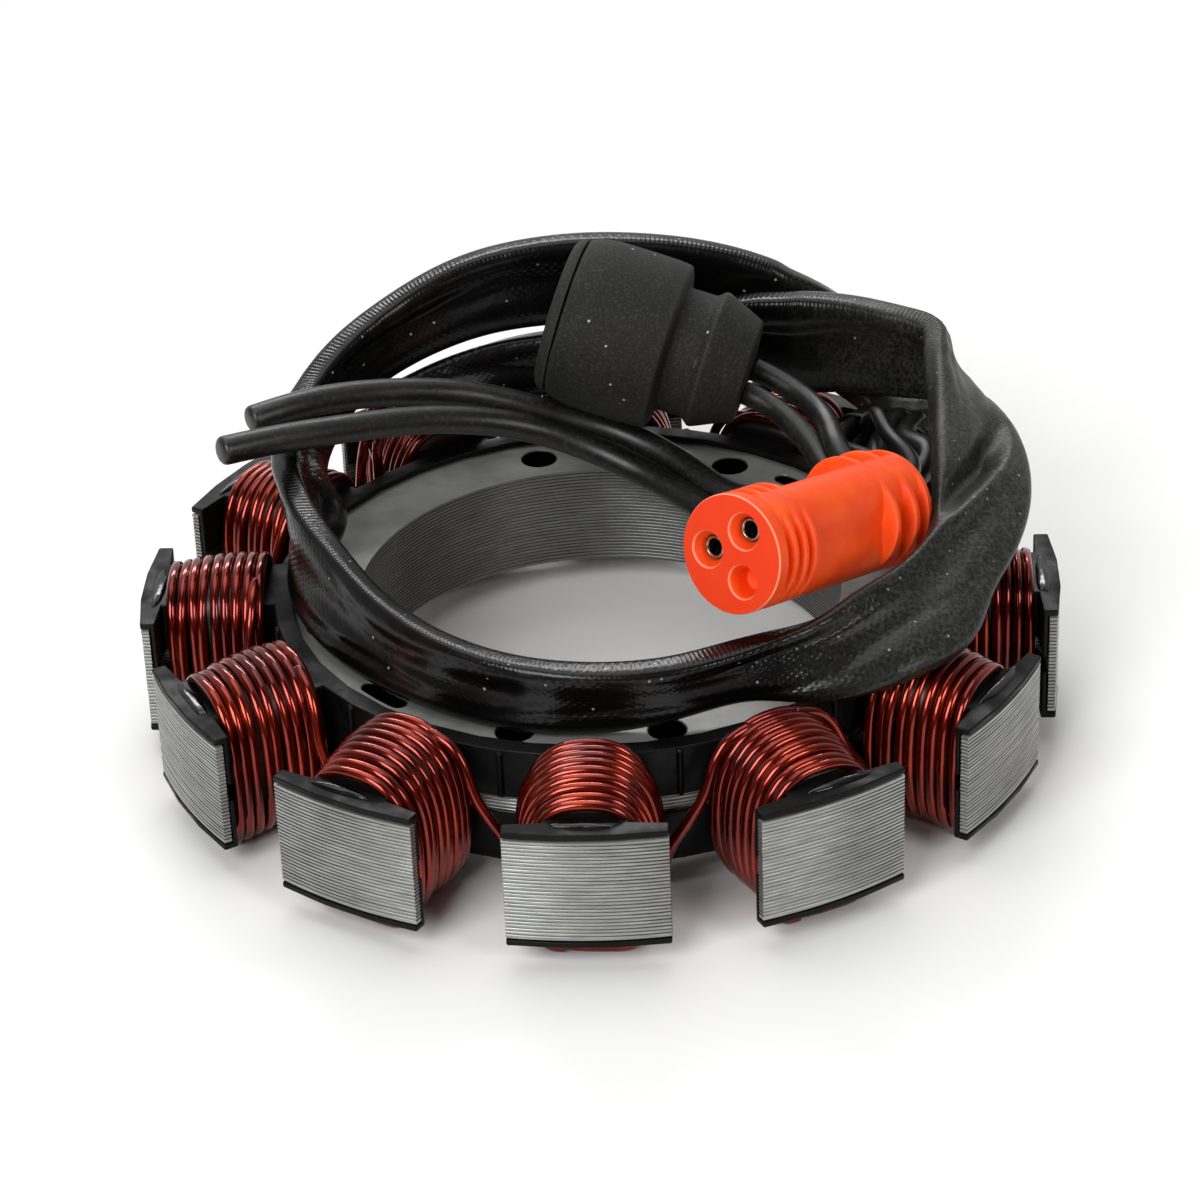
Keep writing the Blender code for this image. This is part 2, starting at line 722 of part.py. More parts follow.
def placed(thing, place, course, roll=0.0):
    """Stands a piece made along +Z at its place, with +Z turned to its course."""
    turn = Vector((0, 0, 1)).rotation_difference(course).to_matrix().to_4x4()
    centre = place + Vector((0, 0, COIL_TOP))
    thing.matrix_world = Matrix.Translation(centre) @ turn @ Matrix.Rotation(roll, 4, "Z")
    return thing


def ring_seats(place, course, along, ring, azimuths, diameter):
    """Seats for leads on a ring round a piece's axis, just off its end face."""
    turn = Vector((0, 0, 1)).rotation_difference(course).to_matrix()
    centre = place + Vector((0, 0, COIL_TOP)) + course * (along + FIT)
    pairs = []
    for azimuth in azimuths:
        x, y = at(ring, azimuth)
        seat = centre + turn @ Vector((x, y, 0))
        pairs.append([tuple(seat + course * STRAIGHT_END * diameter), tuple(seat)])
    return pairs


def turned_solid(name, profile, steps, collection, material=None):
    """A turned solid from its profile of (radius, height) points, run from its top down."""
    mesh = bpy.data.meshes.new(name)
    edges = [(i, i + 1) for i in range(len(profile) - 1)]
    mesh.from_pydata([(radius, 0.0, height) for radius, height in profile], edges, [])
    thing = add_object(name, mesh, collection, material)
    screw = thing.modifiers.new("turn", "SCREW")
    screw.axis = "Z"
    screw.angle = math.tau
    screw.steps = steps
    screw.render_steps = steps
    screw.use_merge_vertices = True
    screw.merge_threshold = 0.00001
    screw.use_smooth_shade = True
    return thing


def boot_plug(collection, rubber, face_rubber):
    """The rubber boot with its neck and collar, and the closed face that sits in its mouth."""
    neck_start = BOOT_SHOULDER + SHOULDER_FALL
    neck_end = neck_start + NECK_L
    profile = [
        (0.0, BOOT_L),
        (COLLAR_END_R, BOOT_L),
        (COLLAR_R, neck_end + COLLAR_FLARE),
        (NECK_R, neck_end),
        (NECK_R, neck_start),
        (BOOT_R - SHOULDER_ROUND, BOOT_SHOULDER),
        (BOOT_R, BELLY_HIGH * BOOT_SHOULDER),
        (BOOT_R, BELLY_LOW * BOOT_SHOULDER),
        (BOOT_RIM_R, 0.0),
        (RECESS_R, 0.0),
        (RECESS_R, RECESS_DEPTH),
        (0.0, RECESS_DEPTH),
    ]
    boot = turned_solid("plug_boot", profile, TURNED_STEPS, collection, rubber)
    placed(boot, BOOT_PLACE, BOOT_COURSE)
    face_profile = [
        (0.0, RECESS_DEPTH - FIT),
        (RECESS_R - FIT, RECESS_DEPTH - FIT),
        (RECESS_R - FIT, -FIT),
        (BOOT_RIM_R, -FIT),
        (BOOT_RIM_R - FACE_EDGE, -FIT - FACE_DOME / 2),
        (BOOT_RIM_R - FACE_ROUND, -FIT - FACE_DOME),
        (0.0, -FIT - FACE_DOME),
    ]
    insert = turned_solid("plug_insert", face_profile, TURNED_STEPS, collection, face_rubber)
    placed(insert, BOOT_PLACE, BOOT_COURSE)


def boot_leads(rows, collection, material):
    """Two leads from the mouth, turning back to the boot's collar."""
    starts = mouth_seats(rows, BOOT_LEAD_SEATS, THIN_LEAD_D)
    ends = ring_seats(
        BOOT_PLACE, BOOT_COURSE, BOOT_L, BOOT_LEAD_RING_R, BOOT_LEAD_AZIMUTHS, THIN_LEAD_D
    )
    for number, (start, route, end) in enumerate(zip(starts, BOOT_LEAD_ROUTES, ends), 1):
        way = lead_way(start, route, end, THIN_LEAD_D)
        tube(f"boot_lead_{number}", way, THIN_LEAD_D, 2, collection, material)


def connector_rings():
    """Heights along the connector, each with its share of the three valleys' depth.

    A share below nought stands out past the lobes."""
    rings = [(0.0, 0.0), (FLANGE_T, 0.0), (FLANGE_T + FRONT_RIB_PITCH / 2, 1.0)]
    height = rings[-1][0]
    for _ in range(FRONT_RIBS):
        rings.append((height + FRONT_RIB_PITCH / 2, FRONT_RIB_SHARE))
        rings.append((height + FRONT_RIB_PITCH, 1.0))
        height += FRONT_RIB_PITCH
    height = CONNECTOR_L - REAR_FLANGE_T - REAR_RIBS * REAR_RIB_PITCH
    rings.append((height, 1.0))
    for _ in range(REAR_RIBS):
        rings.append((height + REAR_RIB_PITCH / 2, REAR_RIB_SHARE))
        rings.append((height + REAR_RIB_PITCH, REAR_VALLEY_SHARE))
        height += REAR_RIB_PITCH
    rings.append((CONNECTOR_L - REAR_FLANGE_T / 2, REAR_FLANGE_SHARE))
    rings.append((CONNECTOR_L, REAR_END_SHARE))
    return rings


def connector_solid(collection, material):
    """Three lobes, one over each lead, with ribs that fill the valleys between them."""
    sides = 3 * LOBE_POINTS
    vertices = []
    for height, share in connector_rings():
        for side in range(sides):
            turn = side * math.tau / sides
            valley = VALLEY * share * (1 - math.cos(3 * turn)) / 2
            vertices.append((*at(CONNECTOR_R - valley, turn), height))
    count = len(vertices) // sides
    faces = []
    for low in range(count - 1):
        for side in range(sides):
            after = (side + 1) % sides
            a = low * sides
            b = a + sides
            faces.append((a + side, a + after, b + after, b + side))
    faces.append(tuple(range(sides))[::-1])
    faces.append(tuple(range((count - 1) * sides, count * sides)))
    mesh = mesh_from("connector_body", vertices, faces)
    smooth_mesh(mesh, 40)
    return add_object("connector_body", mesh, collection, material)


def hole_cutter(name, radius, depth, turn, cutters):
    """A cutter for one stepped hole, turned about the hole's own axis."""
    profile = [
        (0.0, depth),
        (radius, depth),
        (radius, COUNTERBORE_DEPTH),
        (COUNTERBORE_R, COUNTERBORE_STRAIGHT),
        (COUNTERBORE_R, -CUT_PAST),
        (0.0, -CUT_PAST),
    ]
    cutter = turned_solid(name, profile, SMALL_STEPS, cutters)
    as_guide(cutter)
    x, y = at(CONTACT_RING_R, turn)
    return cutter, Matrix.Translation((x, y, 0.0))


def connector(collection, cutters, rubber, metal):
    """The connector's body with its two contact holes and a blind one, and the two contacts."""
    body = connector_solid(collection, rubber)
    placed(body, CONNECTOR_PLACE, CONNECTOR_COURSE, CONNECTOR_ROLL)
    holes = (
        ("contact_hole_1", CONTACT_BORE_R, CONTACT_BORE_DEPTH),
        ("contact_hole_2", CONTACT_BORE_R, CONTACT_BORE_DEPTH),
        ("blind_hole", BLIND_R, BLIND_DEPTH),
    )
    for order, (name, radius, depth) in enumerate(holes, 1):
        cutter, shift = hole_cutter(name, radius, depth, order * math.tau / 3, cutters)
        cutter.matrix_world = body.matrix_world @ shift
        cut(body, cutter)

    radius = CONTACT_BORE_R - FIT
    middle = CONTACT_BORE_DEPTH - FIT - CONTACT_L / 2
    for order in (1, 2):
        loops = [circle(radius, SMALL_STEPS), circle(radius - CONTACT_WALL, SMALL_STEPS)]
        contact = outline(f"connector_contact_{order}", loops, CONTACT_L, collection, metal)
        x, y = at(CONTACT_RING_R, order * math.tau / 3)
        contact.matrix_world = body.matrix_world @ Matrix.Translation((x, y, middle))


def connector_leads(rows, collection, material):
    """Three leads from the mouth to the connector's rear face."""
    starts = mouth_seats(rows, CONNECTOR_LEAD_SEATS, THIN_LEAD_D)
    lobes = [CONNECTOR_ROLL + index * math.tau / 3 for index in range(3)]
    ends = ring_seats(
        CONNECTOR_PLACE, CONNECTOR_COURSE, CONNECTOR_L, CONTACT_RING_R, lobes, THIN_LEAD_D
    )
    for number, (start, route, end) in enumerate(zip(starts, CONNECTOR_LEAD_ROUTES, ends), 1):
        way = lead_way(start, route, end, THIN_LEAD_D)
        tube(f"connector_lead_{number}", way, THIN_LEAD_D, 2, collection, material)


def main():
    clear_scene()
    parts = make_collection("wound_stator")
    cutters = make_collection("cutters")

    steel = make_material("varnished lamination steel", "5B5752", 0.42, 0.85)
    nylon = make_material("black moulded nylon", "121213", 0.45)
    enamel = make_material("enamelled copper wire", "7A1A0C", 0.25, 0.35)
    sleeving = make_material("black varnished sleeving", "0E0E10", 0.30)
    cable = make_material("black cable sheath", "161618", 0.38)
    boot_rubber = make_material("matt black rubber", "1D1D1E", 0.75)
    silicone = make_material("orange red silicone rubber", "F2431C", 0.50)
    tin = make_material("tinned brass", "8A8680", 0.30, 1.0)

    lamination_stack(parts, steel)
    half_frame("upper_insulator", 1, parts, cutters, nylon)
    half_frame("lower_insulator", -1, parts, cutters, nylon)
    coils(parts, enamel)
    crossover_wires(parts, enamel)

    rows = sleeve_stations()
    lead_sleeve(rows, parts, sleeving)
    coil_ends(rows, parts, enamel)
    free_leads(rows, parts, cable)
    boot_plug(parts, boot_rubber, boot_rubber)
    boot_leads(rows, parts, cable)
    connector(parts, cutters, silicone, tin)
    connector_leads(rows, parts, cable)


main()
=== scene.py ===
# %% [markdown]
# # A wound stator and its lead harness
#
# This lesson dresses the wound stator of a flywheel alternator. The real one is a ring of stacked
# steel sheets with twelve poles, black moulded insulation, twelve coils of thick enamelled wire,
# and a harness in a flattened, varnished sleeve that is curled up on top, with a rubber boot plug,
# an orange-red connector and two loose leads.
#
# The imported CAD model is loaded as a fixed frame. Each cell below makes one piece or one finish in
# the same place as its CAD solid, with more surface than a solid for collision needs. All lengths
# are metres and +Z is up.

import math

import bmesh
import bpy
import numpy as np
from mathutils import Matrix, Vector


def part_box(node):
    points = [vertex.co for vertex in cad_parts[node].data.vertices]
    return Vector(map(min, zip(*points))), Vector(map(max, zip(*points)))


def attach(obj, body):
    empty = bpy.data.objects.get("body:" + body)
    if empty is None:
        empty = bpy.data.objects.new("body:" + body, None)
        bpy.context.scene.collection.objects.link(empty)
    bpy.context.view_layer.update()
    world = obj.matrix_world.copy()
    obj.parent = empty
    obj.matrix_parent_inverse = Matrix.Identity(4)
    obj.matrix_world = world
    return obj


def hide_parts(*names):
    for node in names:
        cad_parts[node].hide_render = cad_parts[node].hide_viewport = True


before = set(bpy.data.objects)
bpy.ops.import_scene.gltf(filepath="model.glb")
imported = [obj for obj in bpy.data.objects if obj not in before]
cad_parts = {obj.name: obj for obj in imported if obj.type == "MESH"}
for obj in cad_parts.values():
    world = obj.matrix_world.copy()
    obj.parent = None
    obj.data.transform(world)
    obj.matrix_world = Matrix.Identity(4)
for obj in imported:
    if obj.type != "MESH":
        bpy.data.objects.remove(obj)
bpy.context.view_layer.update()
print("CAD nodes:", len(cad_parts))

# %% [markdown]
# ## Levels and radii
#
# A stator is laid out from its ring: the sheets' height, the ring, the poles, then the insulation
# and the winding around each tooth. The same sizes are used here as in the solids, so that each
# finer piece lands on the solid that it stands for.

# %% Sizes shared by the pieces
MM = 0.001
POLES = 12
POLE_ANGLE = math.tau / POLES
OUTER_R = 63.4 * MM
BORE_R = 33.5 * MM
YOKE_R = 44.0 * MM
TOOTH_W = 9.0 * MM
SHOE_W = 21.1 * MM
SHOE_T = 2.2 * MM
SHOE_TAPER = 0.3 * MM
STACK_LOW = 4.9 * MM
STACK_H = 14.85 * MM
STACK_TOP = STACK_LOW + STACK_H
COIL_TOP = 24.65 * MM
COIL_INNER = 46.0 * MM
COIL_OUTER = 59.8 * MM
HALF_TOOTH_CLEAR = 5.8 * MM
FIT = 0.3 * MM
WIRE_D = 1.5 * MM
print(f"stack from {STACK_LOW / MM:.2f} to {STACK_TOP / MM:.2f} mm")
print(f"coils up to {COIL_TOP / MM:.2f} mm")

# %% [markdown]
# ## The camera
#
# The photograph looks down on the ring by about thirty degrees, from well back with a long lens, so
# the far poles are hardly smaller than the near ones. The camera is placed by its target, distance,
# elevation, azimuth and a slight roll, all angles in radians. The lens comes from the focal length
# in pixels of a picture 1200 pixels wide, turned to millimetres on a 36 mm sensor.

# %% Camera
ELEVATION = 0.5339
AZIMUTH = 0.0501
ROLL = -0.0409
DISTANCE = 0.53596
TARGET = Vector((0.000215, -0.004151, 0.019912))
FOCAL_PIXELS = 3893.4
PICTURE_PIXELS = 1200
SENSOR = 36
back = Vector((
    math.sin(AZIMUTH) * math.cos(ELEVATION),
    -math.cos(AZIMUTH) * math.cos(ELEVATION),
    math.sin(ELEVATION),
))
level_x = Vector((0, 0, 1)).cross(back).normalized()
level_y = back.cross(level_x)
view_x = level_x * math.cos(ROLL) + level_y * math.sin(ROLL)
view_y = -level_x * math.sin(ROLL) + level_y * math.cos(ROLL)
camera_data = bpy.data.cameras.new("camera")
camera_data.sensor_width = SENSOR
camera_data.lens = FOCAL_PIXELS / PICTURE_PIXELS * SENSOR
camera_data.clip_start = 0.01
camera = bpy.data.objects.new("camera", camera_data)
bpy.context.scene.collection.objects.link(camera)
turn = Matrix((view_x, view_y, back)).transposed().to_4x4()
camera.matrix_world = Matrix.Translation(TARGET + back * DISTANCE) @ turn
bpy.context.scene.camera = camera
print(f"lens {camera_data.lens:.1f} mm at {DISTANCE:.3f} m")

# %% [markdown]
# ## Surfaces from grids
#
# Nearly every piece here is a grid of points: rows along the piece and columns around it. One
# function turns such a grid into a mesh. The columns join round on themselves, and each end is
# closed by a flat cap, so the surface is a closed skin. The UV map holds the distance around and
# along in metres, so that a weave can be given its true thread spacing.

# %% Grid to mesh
def unit(vectors):
    """Each row vector divided by its own length."""
    return vectors / np.linalg.norm(vectors, axis=-1, keepdims=True)


def arc_lengths(points):
    """Running length along a row of points: the sum of the steps between neighbours."""
    steps = np.linalg.norm(np.diff(points, axis=0), axis=1)
    return np.concatenate(([0.0], np.cumsum(steps)))


def link_mesh(name, mesh, smooth=True):
    """Puts a mesh into the scene as an object, shaded smooth unless told otherwise."""
    thing = bpy.data.objects.new(name, mesh)
    bpy.context.scene.collection.objects.link(thing)
    if smooth:
        mesh.shade_smooth()
    return thing


def grid_faces(rows, columns):
    """Quads between neighbouring rows; the last column joins the first one."""
    row, column = np.meshgrid(np.arange(rows - 1), np.arange(columns), indexing="ij")
    after = (column + 1) % columns
    here, above = row * columns, (row + 1) * columns
    corners = (here + column, here + after, above + after, above + column)
    return np.stack(corners, axis=-1).reshape(-1, 4)


def skin(name, points, caps=(True, True)):
    """A closed skin over a grid of shape (rows, columns, 3), with the UV map in metres."""
    rows, columns, _ = points.shape
    faces = grid_faces(rows, columns)
    ring = np.arange(columns)
    ends = []
    if caps[0]:
        ends.append(ring[::-1].tolist())
    if caps[1]:
        ends.append((ring + (rows - 1) * columns).tolist())
    mesh = bpy.data.meshes.new(name)
    mesh.from_pydata(points.reshape(-1, 3), [], faces.tolist() + ends)

    along = arc_lengths(points.mean(axis=1))
    around = np.linalg.norm(np.roll(points, -1, axis=1) - points, axis=2).mean(axis=0)
    around = np.concatenate(([0.0], np.cumsum(around)))
    row, column = np.meshgrid(np.arange(rows - 1), np.arange(columns), indexing="ij")
    u = np.stack((around[column], around[column + 1], around[column + 1], around[column]), axis=-1)
    v = np.stack((along[row], along[row], along[row + 1], along[row + 1]), axis=-1)
    uv = np.stack((u, v), axis=-1).reshape(-1, 2)
    spare = sum(len(end) for end in ends)
    uv = np.concatenate((uv, np.zeros((spare, 2))))
    mesh.uv_layers.new(name="UVMap").data.foreach_set("uv", uv.astype(np.float32).ravel())
    mesh.update()
    return link_mesh(name, mesh)


def outward(thing):
    """Turns every face of a closed mesh to point out of it."""
    work = bmesh.new()
    work.from_mesh(thing.data)
    bmesh.ops.recalc_face_normals(work, faces=work.faces)
    work.to_mesh(thing.data)
    work.free()
    return thing

# %% [markdown]
# ## Smooth ways and round tubes
#
# Leads and wires follow a few chosen points. A cubic through them, with the mean slope at each,
# gives the soft line of a real cable where straight runs and arcs would look like bent wire. A
# tube is then a circle carried along that line.

# %% Smooth ways and tubes
def smooth_rows(route, step):
    """Rows about step apart on a cubic through the route's rows, with their mean slopes."""
    rows = np.array(route, dtype=float)
    along = arc_lengths(rows[:, :3])
    slopes = np.gradient(rows, along, axis=0)
    wanted = np.linspace(0.0, along[-1], max(2, round(along[-1] / step)) + 1)
    before = np.clip(np.searchsorted(along, wanted) - 1, 0, len(along) - 2)
    span = (along[before + 1] - along[before])[:, None]
    t = (wanted[:, None] - along[before][:, None]) / span
    return (
        (2 * t**3 - 3 * t**2 + 1) * rows[before]
        + (t**3 - 2 * t**2 + t) * span * slopes[before]
        + (3 * t**2 - 2 * t**3) * rows[before + 1]
        + (t**3 - t**2) * span * slopes[before + 1]
    )


def softened(values, width):
    """A row of values, each the mean of its neighbours under a bell curve some steps wide."""
    reach = int(3 * width)
    weights = np.exp(-0.5 * (np.arange(-reach, reach + 1) / width) ** 2)
    weights = weights / weights.sum()
    padded = np.pad(values, ((reach, reach), (0, 0)), mode="edge")
    return np.stack([np.convolve(column, weights, "valid") for column in padded.T], axis=1)


def tube(name, way, radius, sides=16, guide=(0, 0, 1), round_end=False):
    """A circle of the given radius carried along the way, square to it.

    The circle's first axis is the guide crossed with the course, its second the course crossed with
    the first. With round_end the last stretch closes as a blunt, rounded end, its radius times a
    power of the cosine."""
    way = np.array(way, dtype=float)
    course = unit(np.gradient(way, axis=0))
    radii = np.full(len(way), radius)
    if round_end:
        turn = np.linspace(0, math.pi / 2, 7)[1:]
        end = way[-1] + course[-1] * (0.45 * radius * np.sin(turn))[:, None]
        way = np.concatenate((way, end))
        course = np.concatenate((course, np.repeat(course[-1:], 6, axis=0)))
        radii = np.concatenate((radii, radius * np.maximum(np.cos(turn), 0.02) ** 0.6))
    first = unit(np.cross(np.array(guide, dtype=float), course))
    second = np.cross(course, first)
    angle = np.arange(sides) * math.tau / sides
    circle = np.cos(angle)[None, :, None] * first[:, None]
    circle = circle + np.sin(angle)[None, :, None] * second[:, None]
    return outward(skin(name, way[:, None] + circle * radii[:, None, None]))

# %% [markdown]
# ## The harness: routes first
#
# The sleeve is a flexible tube pressed flat, about 0.4 m long, that leaves the winding at the back,
# lies on the coils in a ring and opens again at the right. Its route is a list of places, each with
# the sleeve's width and the lean of its flat side. These points are the ones of its solid. They are
# set before any surface is made, because everything else in the harness starts at its mouth.

# %% Sleeve route
# x, y, height above the coils' tops, width, and lean in degrees: 0 on edge, 90 flat
SLEEVE_ROUTE = (
    (-0.0305, 0.0380, 0.0030, 0.0080, 80),
    (-0.0225, 0.0435, 0.0040, 0.0085, 50),
    (-0.0135, 0.0473, 0.0050, 0.0090, 20),
    (-0.0030, 0.0484, 0.0056, 0.0096, 6),
    (0.0080, 0.0474, 0.0071, 0.0104, 4),
    (0.0175, 0.0456, 0.0099, 0.0126, 0),
    (0.0275, 0.0428, 0.0115, 0.0140, 0),
    (0.0355, 0.0395, 0.0123, 0.0140, 0),
    (0.0426, 0.0356, 0.0125, 0.0140, -5),
    (0.0482, 0.0300, 0.0125, 0.0140, 5),
    (0.0505, 0.0220, 0.0090, 0.0150, 25),
    (0.0525, 0.0130, 0.0080, 0.0150, 35),
    (0.0538, 0.0040, 0.0078, 0.0145, 28),
    (0.0533, -0.0035, 0.0074, 0.0135, 5),
    (0.0506, -0.0115, 0.0066, 0.0125, -20),
    (0.0452, -0.0190, 0.0062, 0.0108, -28),
    (0.0386, -0.0250, 0.0052, 0.0098, -20),
    (0.0299, -0.0297, 0.0028, 0.0098, -10),
    (0.0206, -0.0334, 0.0011, 0.0098, 0),
    (0.0110, -0.0367, 0.0004, 0.0096, 0),
    (0.0010, -0.0379, 0.0003, 0.0096, 0),
    (-0.0090, -0.0364, 0.0003, 0.0098, -5),
    (-0.0194, -0.0312, 0.0005, 0.0103, -12),
    (-0.0288, -0.0226, 0.0008, 0.0112, -20),
    (-0.0360, -0.0120, 0.0016, 0.0120, -22),
    (-0.0406, -0.0010, 0.0032, 0.0125, -5),
    (-0.0405, 0.0110, 0.0047, 0.0140, 35),
    (-0.0428, 0.0190, 0.0058, 0.0122, 22),
    (-0.0418, 0.0285, 0.0068, 0.0110, 10),
    (-0.0372, 0.0372, 0.0103, 0.0106, 2),
    (-0.0293, 0.0442, 0.0134, 0.0110, 0),
    (-0.0192, 0.0483, 0.0165, 0.0124, 0),
    (-0.0076, 0.0503, 0.0178, 0.0136, 0),
    (0.0040, 0.0520, 0.0170, 0.0140, 0),
    (0.0157, 0.0520, 0.0150, 0.0140, 2),
    (0.0270, 0.0500, 0.0112, 0.0135, 10),
    (0.0365, 0.0462, 0.0064, 0.0115, 50),
    (0.0415, 0.0420, 0.0028, 0.0105, 88),
    (0.0438, 0.0365, 0.0027, 0.0100, 90),
    (0.0426, 0.0300, 0.0031, 0.0112, 90),
    (0.0400, 0.0245, 0.0038, 0.0144, 90),
)
SLEEVE_T = 4.7 * MM
MOUTH_T = 6.8 * MM
MOUTH_FLARE = 12 * MM


def sleeve_frame(rows):
    """Course, width direction and thickness direction of each station.

    The width lies between upright and outward, turned by the lean; the thickness is the course
    crossed with the width."""
    course = unit(np.gradient(rows[:, :3], axis=0))
    up = np.array([0.0, 0.0, 1.0])
    outwards = unit(np.cross(up, course))
    upright = unit(up - (course @ up)[:, None] * course)
    lean = np.radians(rows[:, 4])[:, None]
    width = np.cos(lean) * upright + np.sin(lean) * outwards
    return course, width, np.cross(course, width)


cad_rows = smooth_rows(SLEEVE_ROUTE, 9.8 * MM)
cad_rows[:, 2] += COIL_TOP
mouth = Vector(cad_rows[-1, :3])
cad_course, cad_width, cad_thick = sleeve_frame(cad_rows)
mouth_course = Vector(cad_course[-1])
mouth_across = Vector(cad_width[-1] * np.sign(cad_width[-1, 0]))
mouth_up = Vector(cad_thick[-1] * np.sign(cad_thick[-1, 2]))

# At the right the real sleeve folds over and lies with its broad side up; these rows replace nine
# of the solid's
FOLDED_OVER = (
    (0.0482, 0.0331, 0.0125, 0.0132, -10),
    (0.0503, 0.0249, 0.0125, 0.0118, -38),
    (0.0519, 0.0159, 0.0121, 0.0126, -60),
    (0.0526, 0.0070, 0.0111, 0.0139, -68),
    (0.0524, -0.0022, 0.0092, 0.0138, -67),
    (0.0508, -0.0102, 0.0073, 0.0120, -60),
    (0.0474, -0.0171, 0.0059, 0.0112, -58),
    (0.0435, -0.0235, 0.0048, 0.0126, -60),
    (0.0391, -0.0283, 0.0041, 0.0134, -58),
    (0.0318, -0.0319, 0.0022, 0.0115, -38),
)
dressed_route = SLEEVE_ROUTE[:9] + FOLDED_OVER + SLEEVE_ROUTE[18:]
fine_rows = smooth_rows(dressed_route, 1.1 * MM)
fine_rows[:, 2] += COIL_TOP
# Near its mouth the strand sags open, wider and lower than the pressed solid
sag_at = np.linalg.norm(fine_rows[:, :2] - (0.0215, 0.0497), axis=1)
sag = np.exp(-((sag_at / 0.013) ** 2)) * (fine_rows[:, 2] > 0.036)
fine_rows[:, 2] -= 1.7 * MM * sag
fine_rows[:, 3] += 3.6 * MM * sag
# Over the nearest pole it is pressed narrower, and the ring shows below it
pressed = np.exp(-((np.linalg.norm(fine_rows[:, :2] - (0.0165, -0.0358), axis=1) / 0.012) ** 2))
fine_rows[:, 2] += 0.9 * MM * pressed
fine_rows[:, 3] -= 1.8 * MM * pressed
rows = softened(fine_rows, 2.0)
rows[0] = fine_rows[0]
rows[-1] = fine_rows[-1]

# %% [markdown]
# ## The sleeve's surface
#
# The real sleeve is woven glass yarn soaked in black varnish. Pressed flat, it takes a section
# between an oval and a rectangle, with lengthwise folds where its wall buckled and short cross
# wrinkles on the inside of each tight bend. The section here is a superellipse, the folds are
# narrow valleys that wander along the flat sides, and the wrinkles are ripples whose height follows
# the bend. At the mouth the wall turns in and runs back as a dark inner wall, so the opening is
# hollow and the leads come out of it.

# %% Sleeve surface
SLEEVE_SIDES = 64
SQUARENESS = 0.42


def signed_power(values, power):
    """sign(v) |v|^power."""
    return np.sign(values) * np.abs(values) ** power


def even_turns(sides, power, ratio):
    """Angles that put points evenly round a flat oval: equal steps of its running length."""
    fine = np.linspace(0, math.tau, 1441)
    across = ratio * signed_power(np.cos(fine), power)
    length = arc_lengths(np.stack((across, signed_power(np.sin(fine), power)), axis=1))
    return np.interp(np.arange(sides) * length[-1] / sides, length, fine)


sleeve_turns = even_turns(SLEEVE_SIDES, SQUARENESS, 2.7)


def wander(along, seed, reach, waves=5):
    """A slow random line: a sum of sines with seeded phases, reach being its largest swing."""
    rng = np.random.default_rng(seed)
    phase = rng.uniform(0, math.tau, waves)
    count = rng.uniform(4, 30, waves)
    weight = rng.uniform(0.4, 1.0, waves)
    total = (weight * np.sin(along[:, None] * math.tau * count + phase)).sum(axis=1)
    return reach * total / weight.sum()


def bell(along, middle, spread):
    """exp(-((s - middle) / spread)^2): 1 at the middle, fading on both sides."""
    return np.exp(-(((along - middle) / spread) ** 2))


def station_near(x, y):
    """The running length of the station nearest to a point, seen from above."""
    nearest = int(np.argmin(np.linalg.norm(rows[:, :2] - (x, y), axis=1)))
    return float(arc_lengths(rows[:, :3])[nearest])


FLAP_AT = station_near(0.0425, -0.0215)
JOIN_AT = station_near(0.0500, -0.0125)


